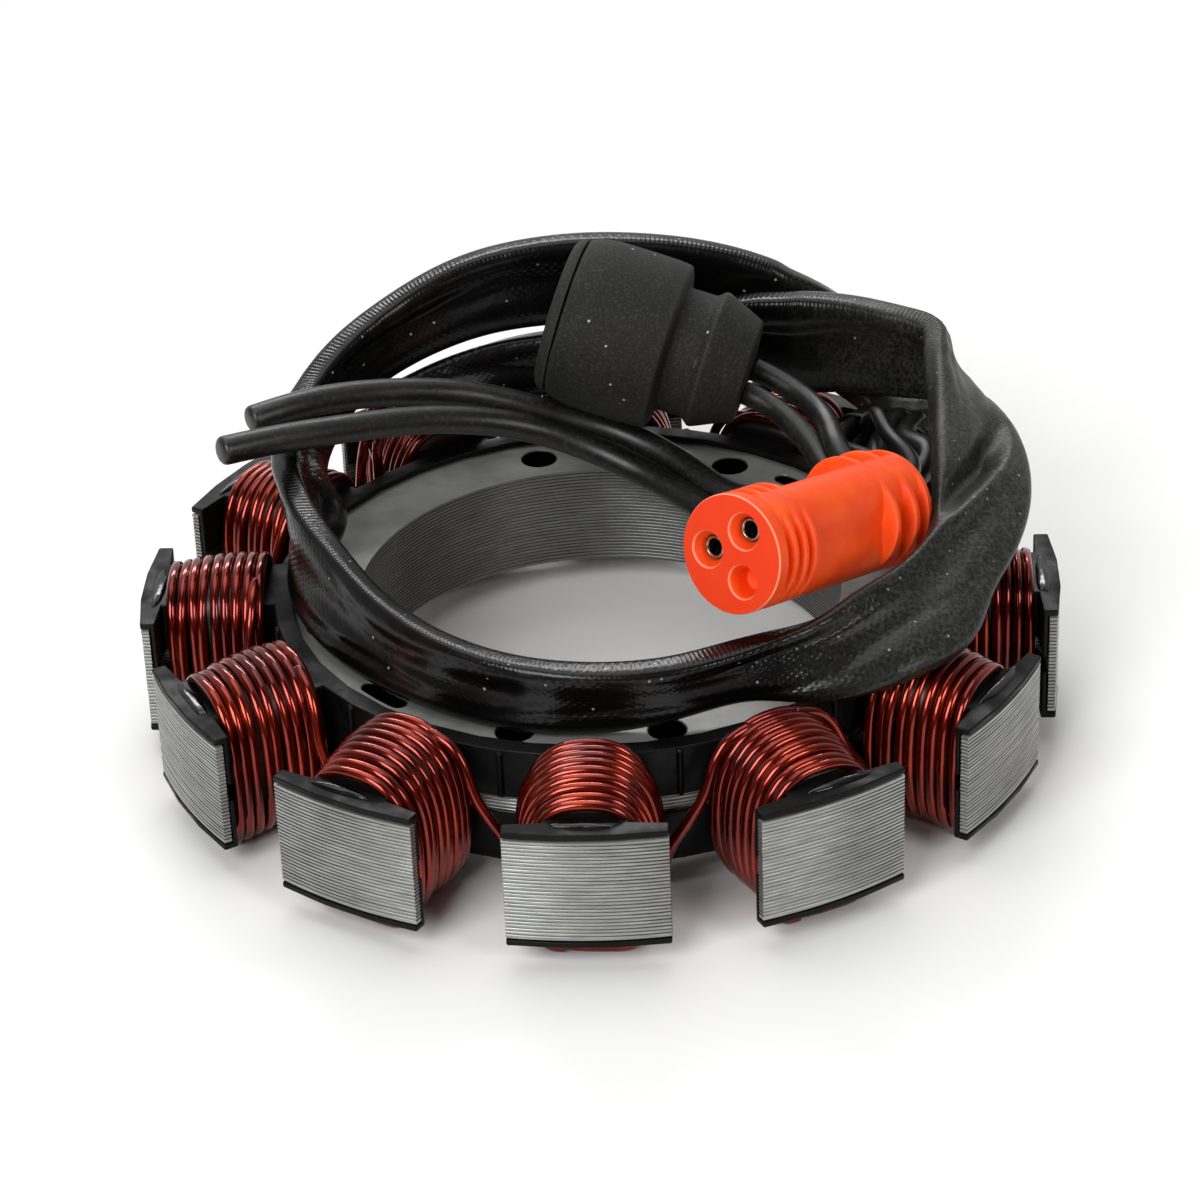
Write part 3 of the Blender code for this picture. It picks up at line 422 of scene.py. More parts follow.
def sleeve_points(rows):
    """The sleeve's wall on a grid.

    across = sign(cos) |cos|^0.42 and through = sign(sin) |sin|^0.42 give the flat oval. A fold
    lowers the flat sides by depth times a bell curve about its wandering line, and a wrinkle by a
    sine along the way times how sharply the way bends. Where the sleeve turns over at the right,
    a slanting ridge with a hollow beside it crosses the broad side, and the outer edge bulges."""
    along = arc_lengths(rows[:, :3])
    course, width, thick = sleeve_frame(rows)
    flare = np.clip(1 - (along[-1] - along) / MOUTH_FLARE, 0, 1)
    thickness = SLEEVE_T + (MOUTH_T - SLEEVE_T) * flare
    thickness = thickness * (1 + wander(along, 3, 0.07))
    breadth = rows[:, 3] * (1 + wander(along, 4, 0.03))
    across = signed_power(np.cos(sleeve_turns), SQUARENESS)
    through = signed_power(np.sin(sleeve_turns), SQUARENESS)

    bend = np.linalg.norm(np.gradient(course, along, axis=0), axis=1)
    bend = softened(bend[:, None], 5.0)[:, 0]
    deep = np.clip((bend - 18) / 40, 0, 1)
    grid_a = across[None, :]
    flatness = np.clip(1 - np.abs(grid_a) ** 3, 0, 1)
    facing = np.sign(through)[None, :]

    # One wide waist on both flat sides, then the folds: seed, middle, depth in mm and spread
    waist = 0.30 + 0.55 * bell(along, FLAP_AT, 30 * MM) + 0.3 * np.abs(wander(along, 9, 1.0))
    waist_at = 0.1 + wander(along, 10, 0.25)
    dip = waist[:, None] * MM * bell(grid_a, waist_at[:, None], 0.36)
    folds = (
        (11, 0.35, 0.45, 0.16), (12, -0.4, 0.35, 0.12), (13, 0.0, 0.3, 0.25), (14, 0.6, 0.3, 0.09),
    )
    for seed, middle, depth, spread in folds:
        line = middle + wander(along, seed, 0.45)
        strength = depth * (0.35 + 0.65 * np.clip(wander(along, seed + 20, 1.6) + 0.4, 0, 1))
        chosen = (facing == (1.0 if seed % 2 else -1.0)) * 1.0
        dip += chosen * strength[:, None] * MM * bell(grid_a, line[:, None], spread)

    # The slanting ridge, the hollow beside it and the groove under the edge, on the upper side
    from_ridge = along[:, None] - JOIN_AT + (1 - grid_a) / 1.6 * 22 * MM
    hollow = 3.0 * MM * bell(from_ridge, -4.5 * MM, 4.2 * MM)
    ridge = 1.6 * MM * bell(from_ridge, 2.5 * MM, 3.4 * MM)
    dip += (facing < 0) * (hollow - ridge) * np.clip((grid_a + 0.75) / 0.7, 0, 1)
    under_edge = 1.3 * MM * bell(along, FLAP_AT + 14 * MM, 17 * MM)[:, None]
    dip += (facing < 0) * under_edge * bell(grid_a, 0.5, 0.2)
    corner = 1.7 * MM * bell(along, FLAP_AT, 7 * MM)[:, None] * np.clip(-grid_a, 0, 1) ** 2
    ripple = np.sin(along * math.tau / (4.4 * MM) + wander(along, 31, 4.0))[:, None]
    dip += 0.22 * MM * deep[:, None] * (1 + ripple * (0.5 + 0.5 * grid_a))
    reach = thickness[:, None] / 2 * through[None, :] - facing * dip * flatness
    return (
        rows[:, None, :3]
        + ((breadth / 2)[:, None] * across - corner)[:, :, None] * width[:, None, :]
        + reach[:, :, None] * thick[:, None, :]
    )


def with_inner_wall(points, rows, wall, depth):
    """Adds the mouth's rim and an inner wall: the last rings again, shrunk towards their middles
    by the wall's thickness, running back by the given depth."""
    along = arc_lengths(rows[:, :3])
    back_from = np.searchsorted(along, along[-1] - depth)
    inner = points[back_from:][::-1]
    middle = inner.mean(axis=1, keepdims=True)
    arms = inner - middle
    size = np.linalg.norm(arms, axis=2, keepdims=True)
    return np.concatenate((points, middle + arms * np.clip(1 - wall / size, 0.1, 1)))


wall = sleeve_points(rows)
sleeve = outward(skin("woven_sleeve", with_inner_wall(wall, rows, 0.45 * MM, 11 * MM)))
edge = np.abs(signed_power(np.cos(sleeve_turns), SQUARENESS)) ** 8
edge_mark = sleeve.data.attributes.new("edge", "FLOAT", "POINT")
edge_mark.data.foreach_set("value", np.resize(edge, len(sleeve.data.vertices)).astype(np.float32))
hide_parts("lead_sleeve")
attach(sleeve, "root")
print("woven_sleeve faces:", len(sleeve.data.polygons))

# %% [markdown]
# ## The leads
#
# Seven round leads come out of the mouth: two loose ones of about 4 mm that cross the bore and end
# in rounded, closed ends, three thin ones to the connector and two to the boot plug. Each starts a
# few millimetres inside the sleeve, as the real ones do, and runs on through its chosen points.

# %% Lead routes
FREE_D = 4.1 * MM
THIN_D = 2.4 * MM
BOOT_D = 3.4 * MM
FREE_SEATS = ((-0.0042, -0.00125), (-0.00035, -0.00125))
CONNECTOR_SEATS = ((0.0034, -0.0017), (-0.0049, 0.0019), (-0.00215, 0.0019))
BOOT_SEATS = ((0.0006, 0.0019), (0.00335, 0.0019))
# x, y and height above the coils' tops
FREE_ROUTES = (
    (
        (0.0332, 0.0189, -0.0027),
        (0.0260, 0.0152, -0.0009),
        (0.0189, 0.0172, -0.0012),
        (0.0124, 0.0250, -0.0003),
        (0.0026, 0.0317, 0.0021),
        (-0.0074, 0.0328, 0.0048),
        (-0.0133, 0.0325, 0.0069),
        (-0.0192, 0.0315, 0.0089),
        (-0.0266, 0.0282, 0.0112),
        (-0.0357, 0.0229, 0.0135),
        (-0.0430, 0.0170, 0.0150),
        (-0.0490, 0.0130, 0.0148),
    ),
    (
        (0.0365, 0.0191, -0.0023),
        (0.0340, 0.0105, -0.0006),
        (0.0270, 0.0075, -0.0018),
        (0.0195, 0.0100, -0.0021),
        (0.0137, 0.0173, -0.0019),
        (0.0052, 0.0256, -0.0008),
        (-0.0037, 0.0288, 0.0022),
        (-0.0117, 0.0286, 0.0052),
        (-0.0190, 0.0259, 0.0077),
        (-0.0262, 0.0218, 0.0100),
        (-0.0350, 0.0150, 0.0125),
        (-0.0448, 0.0082, 0.0145),
        (-0.0520, 0.0036, 0.0152),
    ),
)
CONNECTOR_ROUTES = (
    ((0.0442, 0.0150, 0.0020), (0.0453, 0.0095, 0.0024), (0.0456, 0.0035, 0.0036)),
    ((0.0327, 0.0175, 0.0063), (0.0387, 0.0121, 0.0085), (0.0403, 0.0070, 0.0086)),
    (
        (0.0397, 0.0215, 0.0123),
        (0.0390, 0.0161, 0.0101),
        (0.0422, 0.0105, 0.0104),
        (0.0442, 0.0050, 0.0110),
    ),
)
BOOT_ROUTES = (
    (
        (0.0389, 0.0137, 0.0047),
        (0.0402, 0.0108, 0.0054),
        (0.0377, 0.0079, 0.0058),
        (0.0353, 0.0090, 0.0064),
        (0.0328, 0.0125, 0.0095),
        (0.0327, 0.0168, 0.0090),
        (0.0313, 0.0250, 0.0090),
        (0.0285, 0.0288, 0.0099),
    ),
    (
        (0.0479, 0.0144, 0.0080),
        (0.0432, 0.0092, 0.0050),
        (0.0385, 0.0044, 0.0039),
        (0.0340, 0.0060, 0.0050),
        (0.0319, 0.0102, 0.0057),
        (0.0308, 0.0154, 0.0072),
        (0.0286, 0.0200, 0.0087),
    ),
)

# %% [markdown]
# A lead is one smooth way: its seat in the mouth, its chosen points, and for five of them the seat
# in the piece that they carry. So the boot's and the connector's places and courses are set here,
# the same as their solids', and every lead ends square to the face that it goes into.

# %% Where the boot and the connector lie
BOOT_PLACE = Vector((-0.0046, 0.0335, 0.0202 + COIL_TOP))
BOOT_COURSE = Vector((0.949, -0.180, -0.258)).normalized()
BOOT_L = 27.2 * MM
CONNECTOR_PLACE = Vector((0.0186, -0.0287, 0.0163 + COIL_TOP))
CONNECTOR_COURSE = Vector((0.618, 0.755, -0.222)).normalized()
CONNECTOR_ROLL = math.radians(13)
CONNECTOR_L = 35 * MM
CONTACT_RING_R = 3.9 * MM


def seat_turn(course):
    """The turn that takes +Z to the given course by the shortest way."""
    return Vector((0, 0, 1)).rotation_difference(course).to_matrix()


def end_points(place, course, along, ring, azimuths):
    """Two points per lead on a ring round an axis: one off the end face, one just outside it."""
    turn = seat_turn(course)
    centre = place + course * (along + FIT)
    seats = [centre + turn @ Vector((ring * math.cos(a), ring * math.sin(a), 0)) for a in azimuths]
    return [[tuple(seat + course * 1.5 * THIN_D), tuple(seat)] for seat in seats]


def start_points(seats):
    """Three points per lead: inside the sleeve, at its mouth and a little farther out."""
    pairs = []
    for sideways, above in seats:
        inside = mouth + mouth_across * sideways * 0.9 + mouth_up * above * 0.8
        inside = inside - mouth_course * 7 * MM
        at_mouth = mouth + mouth_across * sideways + mouth_up * above + mouth_course * FIT
        pairs.append(
            [tuple(inside), tuple(at_mouth), tuple(at_mouth + mouth_course * 1.5 * THIN_D)],
        )
    return pairs


def make_leads(kind, seats, routes, ends, diameter, round_end, softness=4.5):
    """A tube for each lead of one kind, its last third eased over to its exact end point."""
    made = []
    for number, (start, route, end) in enumerate(zip(start_points(seats), routes, ends), 1):
        raised = [(x, y, z + COIL_TOP) for x, y, z in route]
        way = softened(smooth_rows(start + raised + end, 0.7 * MM), softness)
        if end:
            near_end = np.clip(np.arange(len(way)) / (len(way) - 1) * 3 - 2, 0, 1)[:, None]
            way = way + (np.array(end[-1]) - way[-1]) * near_end * near_end * (3 - 2 * near_end)
        lead = tube(f"{kind}_cable_{number}", way, diameter / 2, 18, round_end=round_end)
        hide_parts(f"{kind}_lead_{number}")
        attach(lead, "root")
        made.append((lead, way))
        print(f"{kind}_cable_{number}: {arc_lengths(way)[-1] * 1000:.0f} mm")
    return made


lobes = [CONNECTOR_ROLL + index * math.tau / 3 for index in range(3)]
connector_ends = end_points(CONNECTOR_PLACE, CONNECTOR_COURSE, CONNECTOR_L, CONTACT_RING_R, lobes)
boot_ends = end_points(
    BOOT_PLACE, BOOT_COURSE, BOOT_L, 3.2 * MM, (math.radians(60), math.radians(-60)),
)
free_cables = make_leads("free", FREE_SEATS, FREE_ROUTES, [[], []], FREE_D, True)
connector_cables = make_leads(
    "connector", CONNECTOR_SEATS, CONNECTOR_ROUTES, connector_ends, THIN_D, False, 6.0
)
boot_cables = make_leads("boot", BOOT_SEATS, BOOT_ROUTES, boot_ends, BOOT_D, False, 6.0)

# %% [markdown]
# ## The rubber boot plug
#
# The boot is moulded in black rubber, turned in form: a barrelled body, a short neck and a collar
# that tapers to the leads. A profile turned about an axis gives it exactly. Its mouth is closed by
# a separate domed face, and the seam between the two is slightly uneven, so the edge is moved by a
# slow wave around the axis.

# %% Turned pieces
def stretch(points, spacing):
    """The same broken line with its long runs divided, about the spacing apart."""
    pieces = []
    for start, end in zip(points[:-1], points[1:]):
        count = max(1, round(float(np.linalg.norm(end - start)) / spacing))
        pieces.append(start + (end - start) * (np.arange(count) / count)[:, None])
    return np.concatenate(pieces + [points[-1:]])


def lathe(name, profile, sides, place, course, unevenness=None):
    """A profile of (radius, height) turned about +Z, then laid along the course.

    Each point is (r cos a, r sin a, h); unevenness adds a shift of h that changes with a."""
    profile = stretch(np.array(profile, dtype=float), 1.0 * MM)
    angle = np.arange(sides) * math.tau / sides
    radius = np.maximum(profile[:, 0], 0.01 * MM)[:, None]
    height = np.repeat(profile[:, 1][:, None], sides, axis=1)
    if unevenness is not None:
        height = height + unevenness(profile, angle)
    local = np.stack((radius * np.cos(angle), radius * np.sin(angle), height), axis=-1)
    return outward(skin(name, local @ np.array(seat_turn(course)).T + np.array(place)))


def rounded_profile(corners, radius, steps=4):
    """The corners of a profile, each cut back by the radius and bridged by a quadratic curve."""
    corners = np.array(corners, dtype=float)
    points = [corners[0]]
    for before, corner, after in zip(corners[:-2], corners[1:-1], corners[2:]):
        to_before = before - corner
        to_after = after - corner
        cut = min(radius, 0.45 * np.linalg.norm(to_before), 0.45 * np.linalg.norm(to_after))
        start = corner + to_before / np.linalg.norm(to_before) * cut
        end = corner + to_after / np.linalg.norm(to_after) * cut
        for t in np.linspace(0, 1, steps + 1):
            points.append((1 - t) ** 2 * start + 2 * t * (1 - t) * corner + t**2 * end)
    points.append(corners[-1])
    return np.array(points)


def seam_wave(profile, angle):
    """A shift along the axis near the mouth: 0.05 mm times three slow waves round the rim."""
    near = bell(profile[:, 1], 0.0, 1.2 * MM)[:, None]
    wave = np.sin(2 * angle + 0.6) + 0.6 * np.sin(5 * angle) + 0.35 * np.sin(13 * angle + 2.0)
    return near * wave[None, :] * 0.05 * MM


# Radius and height in mm: the collar and neck, the barrel, and the mouth's hollow
body_corners = [
    (0.0, 27.2), (5.6, 27.2), (7.4, 27.0), (9.8, 21.6), (10.0, 20.9), (9.4, 20.2), (9.0, 19.7),
    (9.0, 15.8), (10.6, 15.6), (12.05, 15.1), (12.25, 13.0), (12.32, 9.0), (12.3, 4.0),
    (11.88, 1.6), (11.25, 0.1), (9.5, 0.0), (9.5, 6.0), (0.0, 6.0),
]
face_corners = [
    (0.0, 5.7), (9.2, 5.7), (9.2, -0.1), (11.3, -0.12), (11.2, -1.0), (10.2, -1.75), (7.0, -2.05),
    (0.6, -2.1),
]
BOOT_SIDES = 120
body_profile = rounded_profile(np.array(body_corners) * MM, 0.5 * MM)
face_profile = rounded_profile(np.array(face_corners) * MM, 0.35 * MM)
boot = lathe("boot_body", body_profile, BOOT_SIDES, BOOT_PLACE, BOOT_COURSE, seam_wave)
boot_face = lathe("boot_face", face_profile, BOOT_SIDES, BOOT_PLACE, BOOT_COURSE)
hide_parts("plug_boot")
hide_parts("plug_insert")
for piece in (boot, boot_face):
    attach(piece, "root")
print("boot_body faces:", len(boot.data.polygons))

# %% [markdown]
# ## The three-hole connector
#
# The connector is one rubber moulding with a lobe over each lead and fins that fill the valleys
# between the lobes, so that fingers can pull it. Around the axis, the radius falls by the valley's
# depth times (1 - cos 3a) / 2. Along the axis, each fin brings it back up over a short, steep-sided
# stretch. The holes are cut by turned cutters: two are countersunk and lined with metal, and the
# third is blind.

# %% Connector body
VALLEY = 1.9 * MM
CONNECTOR_R = 8.0 * MM
HOLE_SIDES = 40


def plateau(height, middle, half, edge):
    """1 within half of the middle, 0 beyond half plus edge, with a smooth slope between."""
    t = np.clip((half + edge - np.abs(height - middle)) / edge, 0, 1)
    return t * t * (3 - 2 * t)


def fin_fill(height):
    """How far the fins fill the valleys at a height along the connector, from 0 to 1."""
    fill = plateau(height, 0.6 * MM, 1.3 * MM, 0.2 * MM)
    for middle in (3.9, 6.0, 8.1):
        fill = np.maximum(fill, plateau(height, middle * MM, 0.28 * MM, 0.3 * MM) * 0.97)
    for middle, half in ((25.4, 0.3), (29.6, 0.35)):
        fill = np.maximum(fill, plateau(height, middle * MM, half * MM, 0.45 * MM))
    return np.maximum(fill, plateau(height, 34.0 * MM, 1.1 * MM, 0.4 * MM) * 0.95)


def connector_points():
    """radius = R - valley (1 - fill) (1 - cos 3a) / 2, with its front edge rounded and the rear
    fins standing a little proud of the lobes."""
    height = np.concatenate((np.linspace(0, 0.3, 4)[:-1], np.linspace(0.3, 35, 420))) * MM
    angle = np.arange(144) * math.tau / 144
    fill = fin_fill(height)[:, None]
    valley = ((1 - np.cos(3 * angle)) / 2)[None, :] ** 1.25
    rear_fins = plateau(height, 25.4 * MM, 0.3 * MM, 0.45 * MM)
    rear_fins = rear_fins + plateau(height, 29.6 * MM, 0.35 * MM, 0.45 * MM)
    proud = 0.5 * MM * rear_fins[:, None]
    rim = -0.16 * MM * np.clip(1 - height / (0.3 * MM), 0, 1)[:, None] ** 2
    radius = CONNECTOR_R + rim + proud * valley - VALLEY * (1 - fill) * valley
    radius = radius - 1.1 * MM * np.clip((height - 32.6 * MM) / (2.4 * MM), 0, 1)[:, None] ** 2
    radius = radius - 0.25 * MM * plateau(height, 2.45 * MM, 0.25 * MM, 0.3 * MM)[:, None]
    grid_h = np.repeat(height[:, None], len(angle), axis=1)
    return np.stack((radius * np.cos(angle), radius * np.sin(angle), grid_h), axis=-1)


connector_turn = np.array(seat_turn(CONNECTOR_COURSE) @ Matrix.Rotation(CONNECTOR_ROLL, 3, "Z"))


def laid_on_connector(points):
    """Points in the connector's own frame taken to where it lies."""
    return points @ connector_turn.T + np.array(CONNECTOR_PLACE)


def hole_points(profile, order):
    """A profile of (radius, height) turned about the axis of one of the three holes."""
    profile = np.array(profile, dtype=float) * MM
    angle = np.arange(HOLE_SIDES) * math.tau / HOLE_SIDES
    radius = np.maximum(profile[:, 0], 0.01 * MM)[:, None]
    centre = order * math.tau / 3
    x = radius * np.cos(angle) + CONTACT_RING_R * math.cos(centre)
    y = radius * np.sin(angle) + CONTACT_RING_R * math.sin(centre)
    return np.stack((x, y, np.repeat(profile[:, 1][:, None], HOLE_SIDES, axis=1)), axis=-1)


def cut_out(piece, cutter):
    """Cuts the cutter out of the piece and keeps the result in the piece's own mesh."""
    cutting = piece.modifiers.new("hole", "BOOLEAN")
    cutting.operation = "DIFFERENCE"
    cutting.solver = "EXACT"
    cutting.object = cutter
    bpy.context.view_layer.update()
    evaluated = piece.evaluated_get(bpy.context.evaluated_depsgraph_get())
    result = bpy.data.meshes.new_from_object(evaluated)
    piece.modifiers.clear()
    old = piece.data
    piece.data = result
    bpy.data.meshes.remove(old)
    bpy.data.objects.remove(cutter)


connector = outward(skin("connector_moulding", laid_on_connector(connector_points())))
# Radius and height in mm: a straight hole with a countersunk mouth, and the shallow blind one
lined = [
    (0.01, 14), (1.75, 14), (1.75, 1.3), (1.85, 1.05), (2.35, 0.42), (2.5, 0.16), (2.62, -0.02),
    (2.8, -1), (0.01, -1),
]
blind = [
    (0.01, 3.4), (1.45, 3.4), (1.7, 3.2), (1.8, 1.4), (2.1, 0.5), (2.3, 0.2), (2.42, -0.02),
    (2.6, -1), (0.01, -1),
]
for order, profile in ((1, lined), (2, lined), (3, blind)):
    cut_out(connector, outward(skin("hole_cutter", laid_on_connector(hole_points(profile, order)))))
connector.data.shade_smooth()
connector.data.set_sharp_from_angle(angle=math.radians(42))
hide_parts("connector_body")
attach(connector, "root")

ring = [(1.58, 13.6), (1.58, 1.75), (1.46, 1.5), (1.2, 1.52), (1.14, 1.9), (1.14, 13.6)]
for order in (1, 2):
    socket_points = laid_on_connector(hole_points(ring + ring[:1], order))
    socket = outward(skin(f"contact_socket_{order}", socket_points, caps=(False, False)))
    merged = bmesh.new()
    merged.from_mesh(socket.data)
    bmesh.ops.remove_doubles(merged, verts=merged.verts, dist=1e-7)
    merged.to_mesh(socket.data)
    merged.free()
    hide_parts(f"connector_contact_{order}")
    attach(socket, "root")
print("connector_moulding faces:", len(connector.data.polygons))

# %% [markdown]
# ## The cords
#
# The sleeve and the loose leads show in the photograph from end to end, apart from a few
# millimetres. The other leads are as long as their way to the boot and the connector.


print("harness made")

# %% [markdown]
# ## The stacked sheets
#
# The ring and its poles are 28 sheets of electrical steel, stamped, stacked, riveted and dipped in
# clear varnish. What the eye sees is the edge of each sheet as a pale line with a dark groove below
# it. The wall is made as rings around the outline: two at each sheet's edge, at full size, and one
# in each groove, set in by 0.11 mm. Each sheet lies a few hundredths of a millimetre off the next,
# pole by pole, as stamped sheets do. A point attribute named groove tells the material where the
# grooves are.

# %% The outline of a sheet
SHEETS = 28
SHEET_PITCH = STACK_H / SHEETS
GROOVE_DEPTH = 0.11 * MM


def at(radius, azimuth):
    """(r cos a, r sin a)."""
    return np.stack((radius * np.cos(azimuth), radius * np.sin(azimuth)), axis=-1)


def pole_azimuth(index):
    """The pole's direction, counted from the one nearest to the camera."""
    return -math.pi / 2 + index * POLE_ANGLE


def on_pole(out, across, index):
    """A pole's own (out, across) turned to it: (o cos a - c sin a, o sin a + c cos a)."""
    azimuth = pole_azimuth(index)
    x = out * np.cos(azimuth) - across * np.sin(azimuth)
    y = out * np.sin(azimuth) + across * np.cos(azimuth)
    return x, y


def pole_line(inset):
    """One pole and half of the ring on both sides, along +X, as (out, across) points.

    From the ring's arc the line turns up the tooth, out under the shoe and over its round face;
    the second half is the first one mirrored. All walls move in by the inset."""
    ring = YOKE_R - inset
    half = TOOTH_W / 2 - inset
    under = OUTER_R - SHOE_T + inset
    tip = SHOE_W / 2 - inset
    face = OUTER_R - inset
    foot = math.asin(half / ring)
    arc = at(ring, np.linspace(-POLE_ANGLE / 2, -foot, 6))
    walls = np.array([
        (ring * math.cos(foot), -half),
        (under, -half),
        (under + SHOE_TAPER, -tip),
        (math.sqrt(face**2 - tip**2), -tip),
    ])
    side = np.concatenate((arc[:-1], stretch(walls, 3 * MM)))
    reach = math.asin(tip / face)
    front = at(face, np.linspace(-reach, reach, 25))[1:-1]
    mirrored = side[::-1] * (1, -1)
    return np.concatenate((side, front, mirrored[:-1]))


def stack_outline(inset):
    """The pole's line turned to all twelve poles, as one closed line."""
    line = pole_line(inset)
    x, y = on_pole(line[:, 0], line[:, 1], np.arange(POLES)[:, None])
    return np.stack((x, y), axis=-1).reshape(-1, 2)

# %% [markdown]
# The walls come from that outline at two sizes, full and cut back by the groove's depth.
# Twenty-eight separate boxes would do too, but one skin of rings has no hidden faces between the
# sheets.

# %% Walls of the stack
def sheet_levels():
    """Height and depth of every ring: groove, lower edge, upper edge, for sheet after sheet."""
    low = STACK_LOW + np.arange(SHEETS) * SHEET_PITCH
    edge = 0.13 * MM
    levels = np.stack((low, low + edge, low + SHEET_PITCH - edge), axis=1).ravel()
    groove = np.tile((1.0, 0.0, 0.0), SHEETS)
    groove[0] = 0.0
    levels = np.append(np.delete(levels, 1), STACK_TOP)
    return levels, np.append(np.delete(groove, 1), 0.0)


def walled(name, full, cut, levels, groove, shift=None):
    """Rings between the full outline and the cut one: full + (cut - full) * groove."""
    rings = full[None] + (cut - full)[None] * groove[:, None, None]
    if shift is not None:
        rings = rings * (1 + shift[:, :, None])
    heights = np.repeat(levels[:, None, None], len(full), axis=1)
    wall = skin(name, np.concatenate((rings, heights), axis=2), caps=(False, False))
    mark = wall.data.attributes.new("groove", "FLOAT", "POINT")
    mark.data.foreach_set("value", np.repeat(groove, len(full)).astype(np.float32))
    return wall


levels, groove = sheet_levels()
outer_full = stack_outline(0.0)
outer_cut = stack_outline(GROOVE_DEPTH)
rng = np.random.default_rng(5)
per_pole = rng.normal(0, 0.0004, (SHEETS, POLES))
sheet_of_ring = np.clip(((levels - STACK_LOW) / SHEET_PITCH - 1e-6).astype(int), 0, SHEETS - 1)
shift = np.repeat(per_pole, len(outer_full) // POLES, axis=1)[sheet_of_ring]
shift[0] = shift[-1] = 0.0
radius = np.linalg.norm(outer_full, axis=1)
shift = -np.abs(shift) * (radius > OUTER_R - 1.2 * MM)
outer_wall = walled("outer_edges", outer_full, outer_cut, levels, groove, shift)

bore_turn = np.arange(240) * math.tau / 240
bore_full = at(BORE_R, bore_turn)
bore_cut = at(BORE_R + GROOVE_DEPTH, bore_turn)
bore_wall = walled("bore_edges", bore_full, bore_cut, levels, groove)
print("sheet edges:", len(outer_wall.data.polygons) + len(bore_wall.data.polygons), "faces")

# %% [markdown]
# The flat faces above and below are filled between the outline, the bore and the holes. A flat
# curve that is filled on both sides does this without any work on triangles. The holes' walls get
# a small break at each rim, where a real punched hole catches the light.

# %% Faces and holes of the stack
HOLE_R = 2.5 * MM
HOLE_BREAK = 0.2 * MM
HOLE_RING_R = 38.5 * MM
HOLES = [(HOLE_RING_R, math.radians(a)) for a in (-75, 15, 62, 105, 195, 255)]
SLOT_RING_R = 39.4 * MM
SLOT_HALF_L = 4.0 * MM
SLOT_HALF_W = 1.1 * MM
SLOTS = [math.radians(a) for a in (45, 225)]


def hole_loop(place, radius):
    """A circle of the radius about (r, a)."""
    centre = at(place[0], np.array(place[1]))
    return centre + at(radius, np.arange(28) * math.tau / 28)


def slot_loop(middle, half_width):
    """A slot that follows its ring: two arcs at r +- half width, joined by half circles."""
    half = (SLOT_HALF_L - SLOT_HALF_W) / SLOT_RING_R
    sweep = np.linspace(-half, half, 9)
    bow = np.linspace(0, math.pi, 9)[1:-1]
    outer = at(SLOT_RING_R + half_width, middle + sweep)
    inner = at(SLOT_RING_R - half_width, middle + sweep[::-1])
    ends = []
    for sign, angles in ((1, bow), (-1, bow + math.pi)):
        spot = middle + sign * half
        ends.append(at(SLOT_RING_R, np.array(spot)) + at(half_width, spot + angles))
    return np.concatenate((outer, ends[0], inner, ends[1]))


def filled_face(name, loops, height, up):
    """A flat 2D curve with one closed line per loop, filled, turned to a mesh at the height."""
    curve = bpy.data.curves.new(name, "CURVE")
    curve.dimensions = "2D"
    curve.fill_mode = "BOTH"
    for loop in loops:
        line = curve.splines.new("POLY")
        line.points.add(len(loop) - 1)
        points = np.column_stack((loop, np.zeros(len(loop)), np.ones(len(loop))))
        line.points.foreach_set("co", points.ravel())
        line.use_cyclic_u = True
    holder = bpy.data.objects.new(name, curve)
    bpy.context.scene.collection.objects.link(holder)
    bpy.context.view_layer.update()
    evaluated = holder.evaluated_get(bpy.context.evaluated_depsgraph_get())
    mesh = bpy.data.meshes.new_from_object(evaluated)
    bpy.data.objects.remove(holder)
    mesh.transform(Matrix.Translation((0, 0, height)))
    if (mesh.polygons[0].normal.z > 0) != up:
        mesh.flip_normals()
    return link_mesh(name, mesh, smooth=False)


def shaded_hole_wall(name, rim, wall):
    """Rim loop at the faces, wall loop a break's depth inside them; the wall loops are marked as
    groove, so the hole's wall is painted near black as painted shade.
    """
    heights = np.array((STACK_LOW, STACK_LOW + HOLE_BREAK, STACK_TOP - HOLE_BREAK, STACK_TOP))
    rings = np.stack((rim, wall, wall, rim))
    grid = np.concatenate((rings, np.repeat(heights[:, None, None], len(rim), axis=1)), axis=2)
    made = skin(name, grid, caps=(False, False))
    made.data.flip_normals()
    mark = made.data.attributes.new("groove", "FLOAT", "POINT")
    mark.data.foreach_set("value", np.repeat((0.0, 1.0, 1.0, 0.0), len(rim)).astype(np.float32))
    return made


def joined(name, things):
    """Several mesh objects as one, with the seams between them merged."""
    whole = bmesh.new()
    whole.verts.layers.float.new("groove")
    for thing in things:
        whole.from_mesh(thing.data)
    bmesh.ops.remove_doubles(whole, verts=whole.verts, dist=2e-6)
    bmesh.ops.recalc_face_normals(whole, faces=whole.faces)
    mesh = bpy.data.meshes.new(name)
    whole.to_mesh(mesh)
    whole.free()
    for thing in things:
        bpy.data.objects.remove(thing)
    return link_mesh(name, mesh, smooth=False)


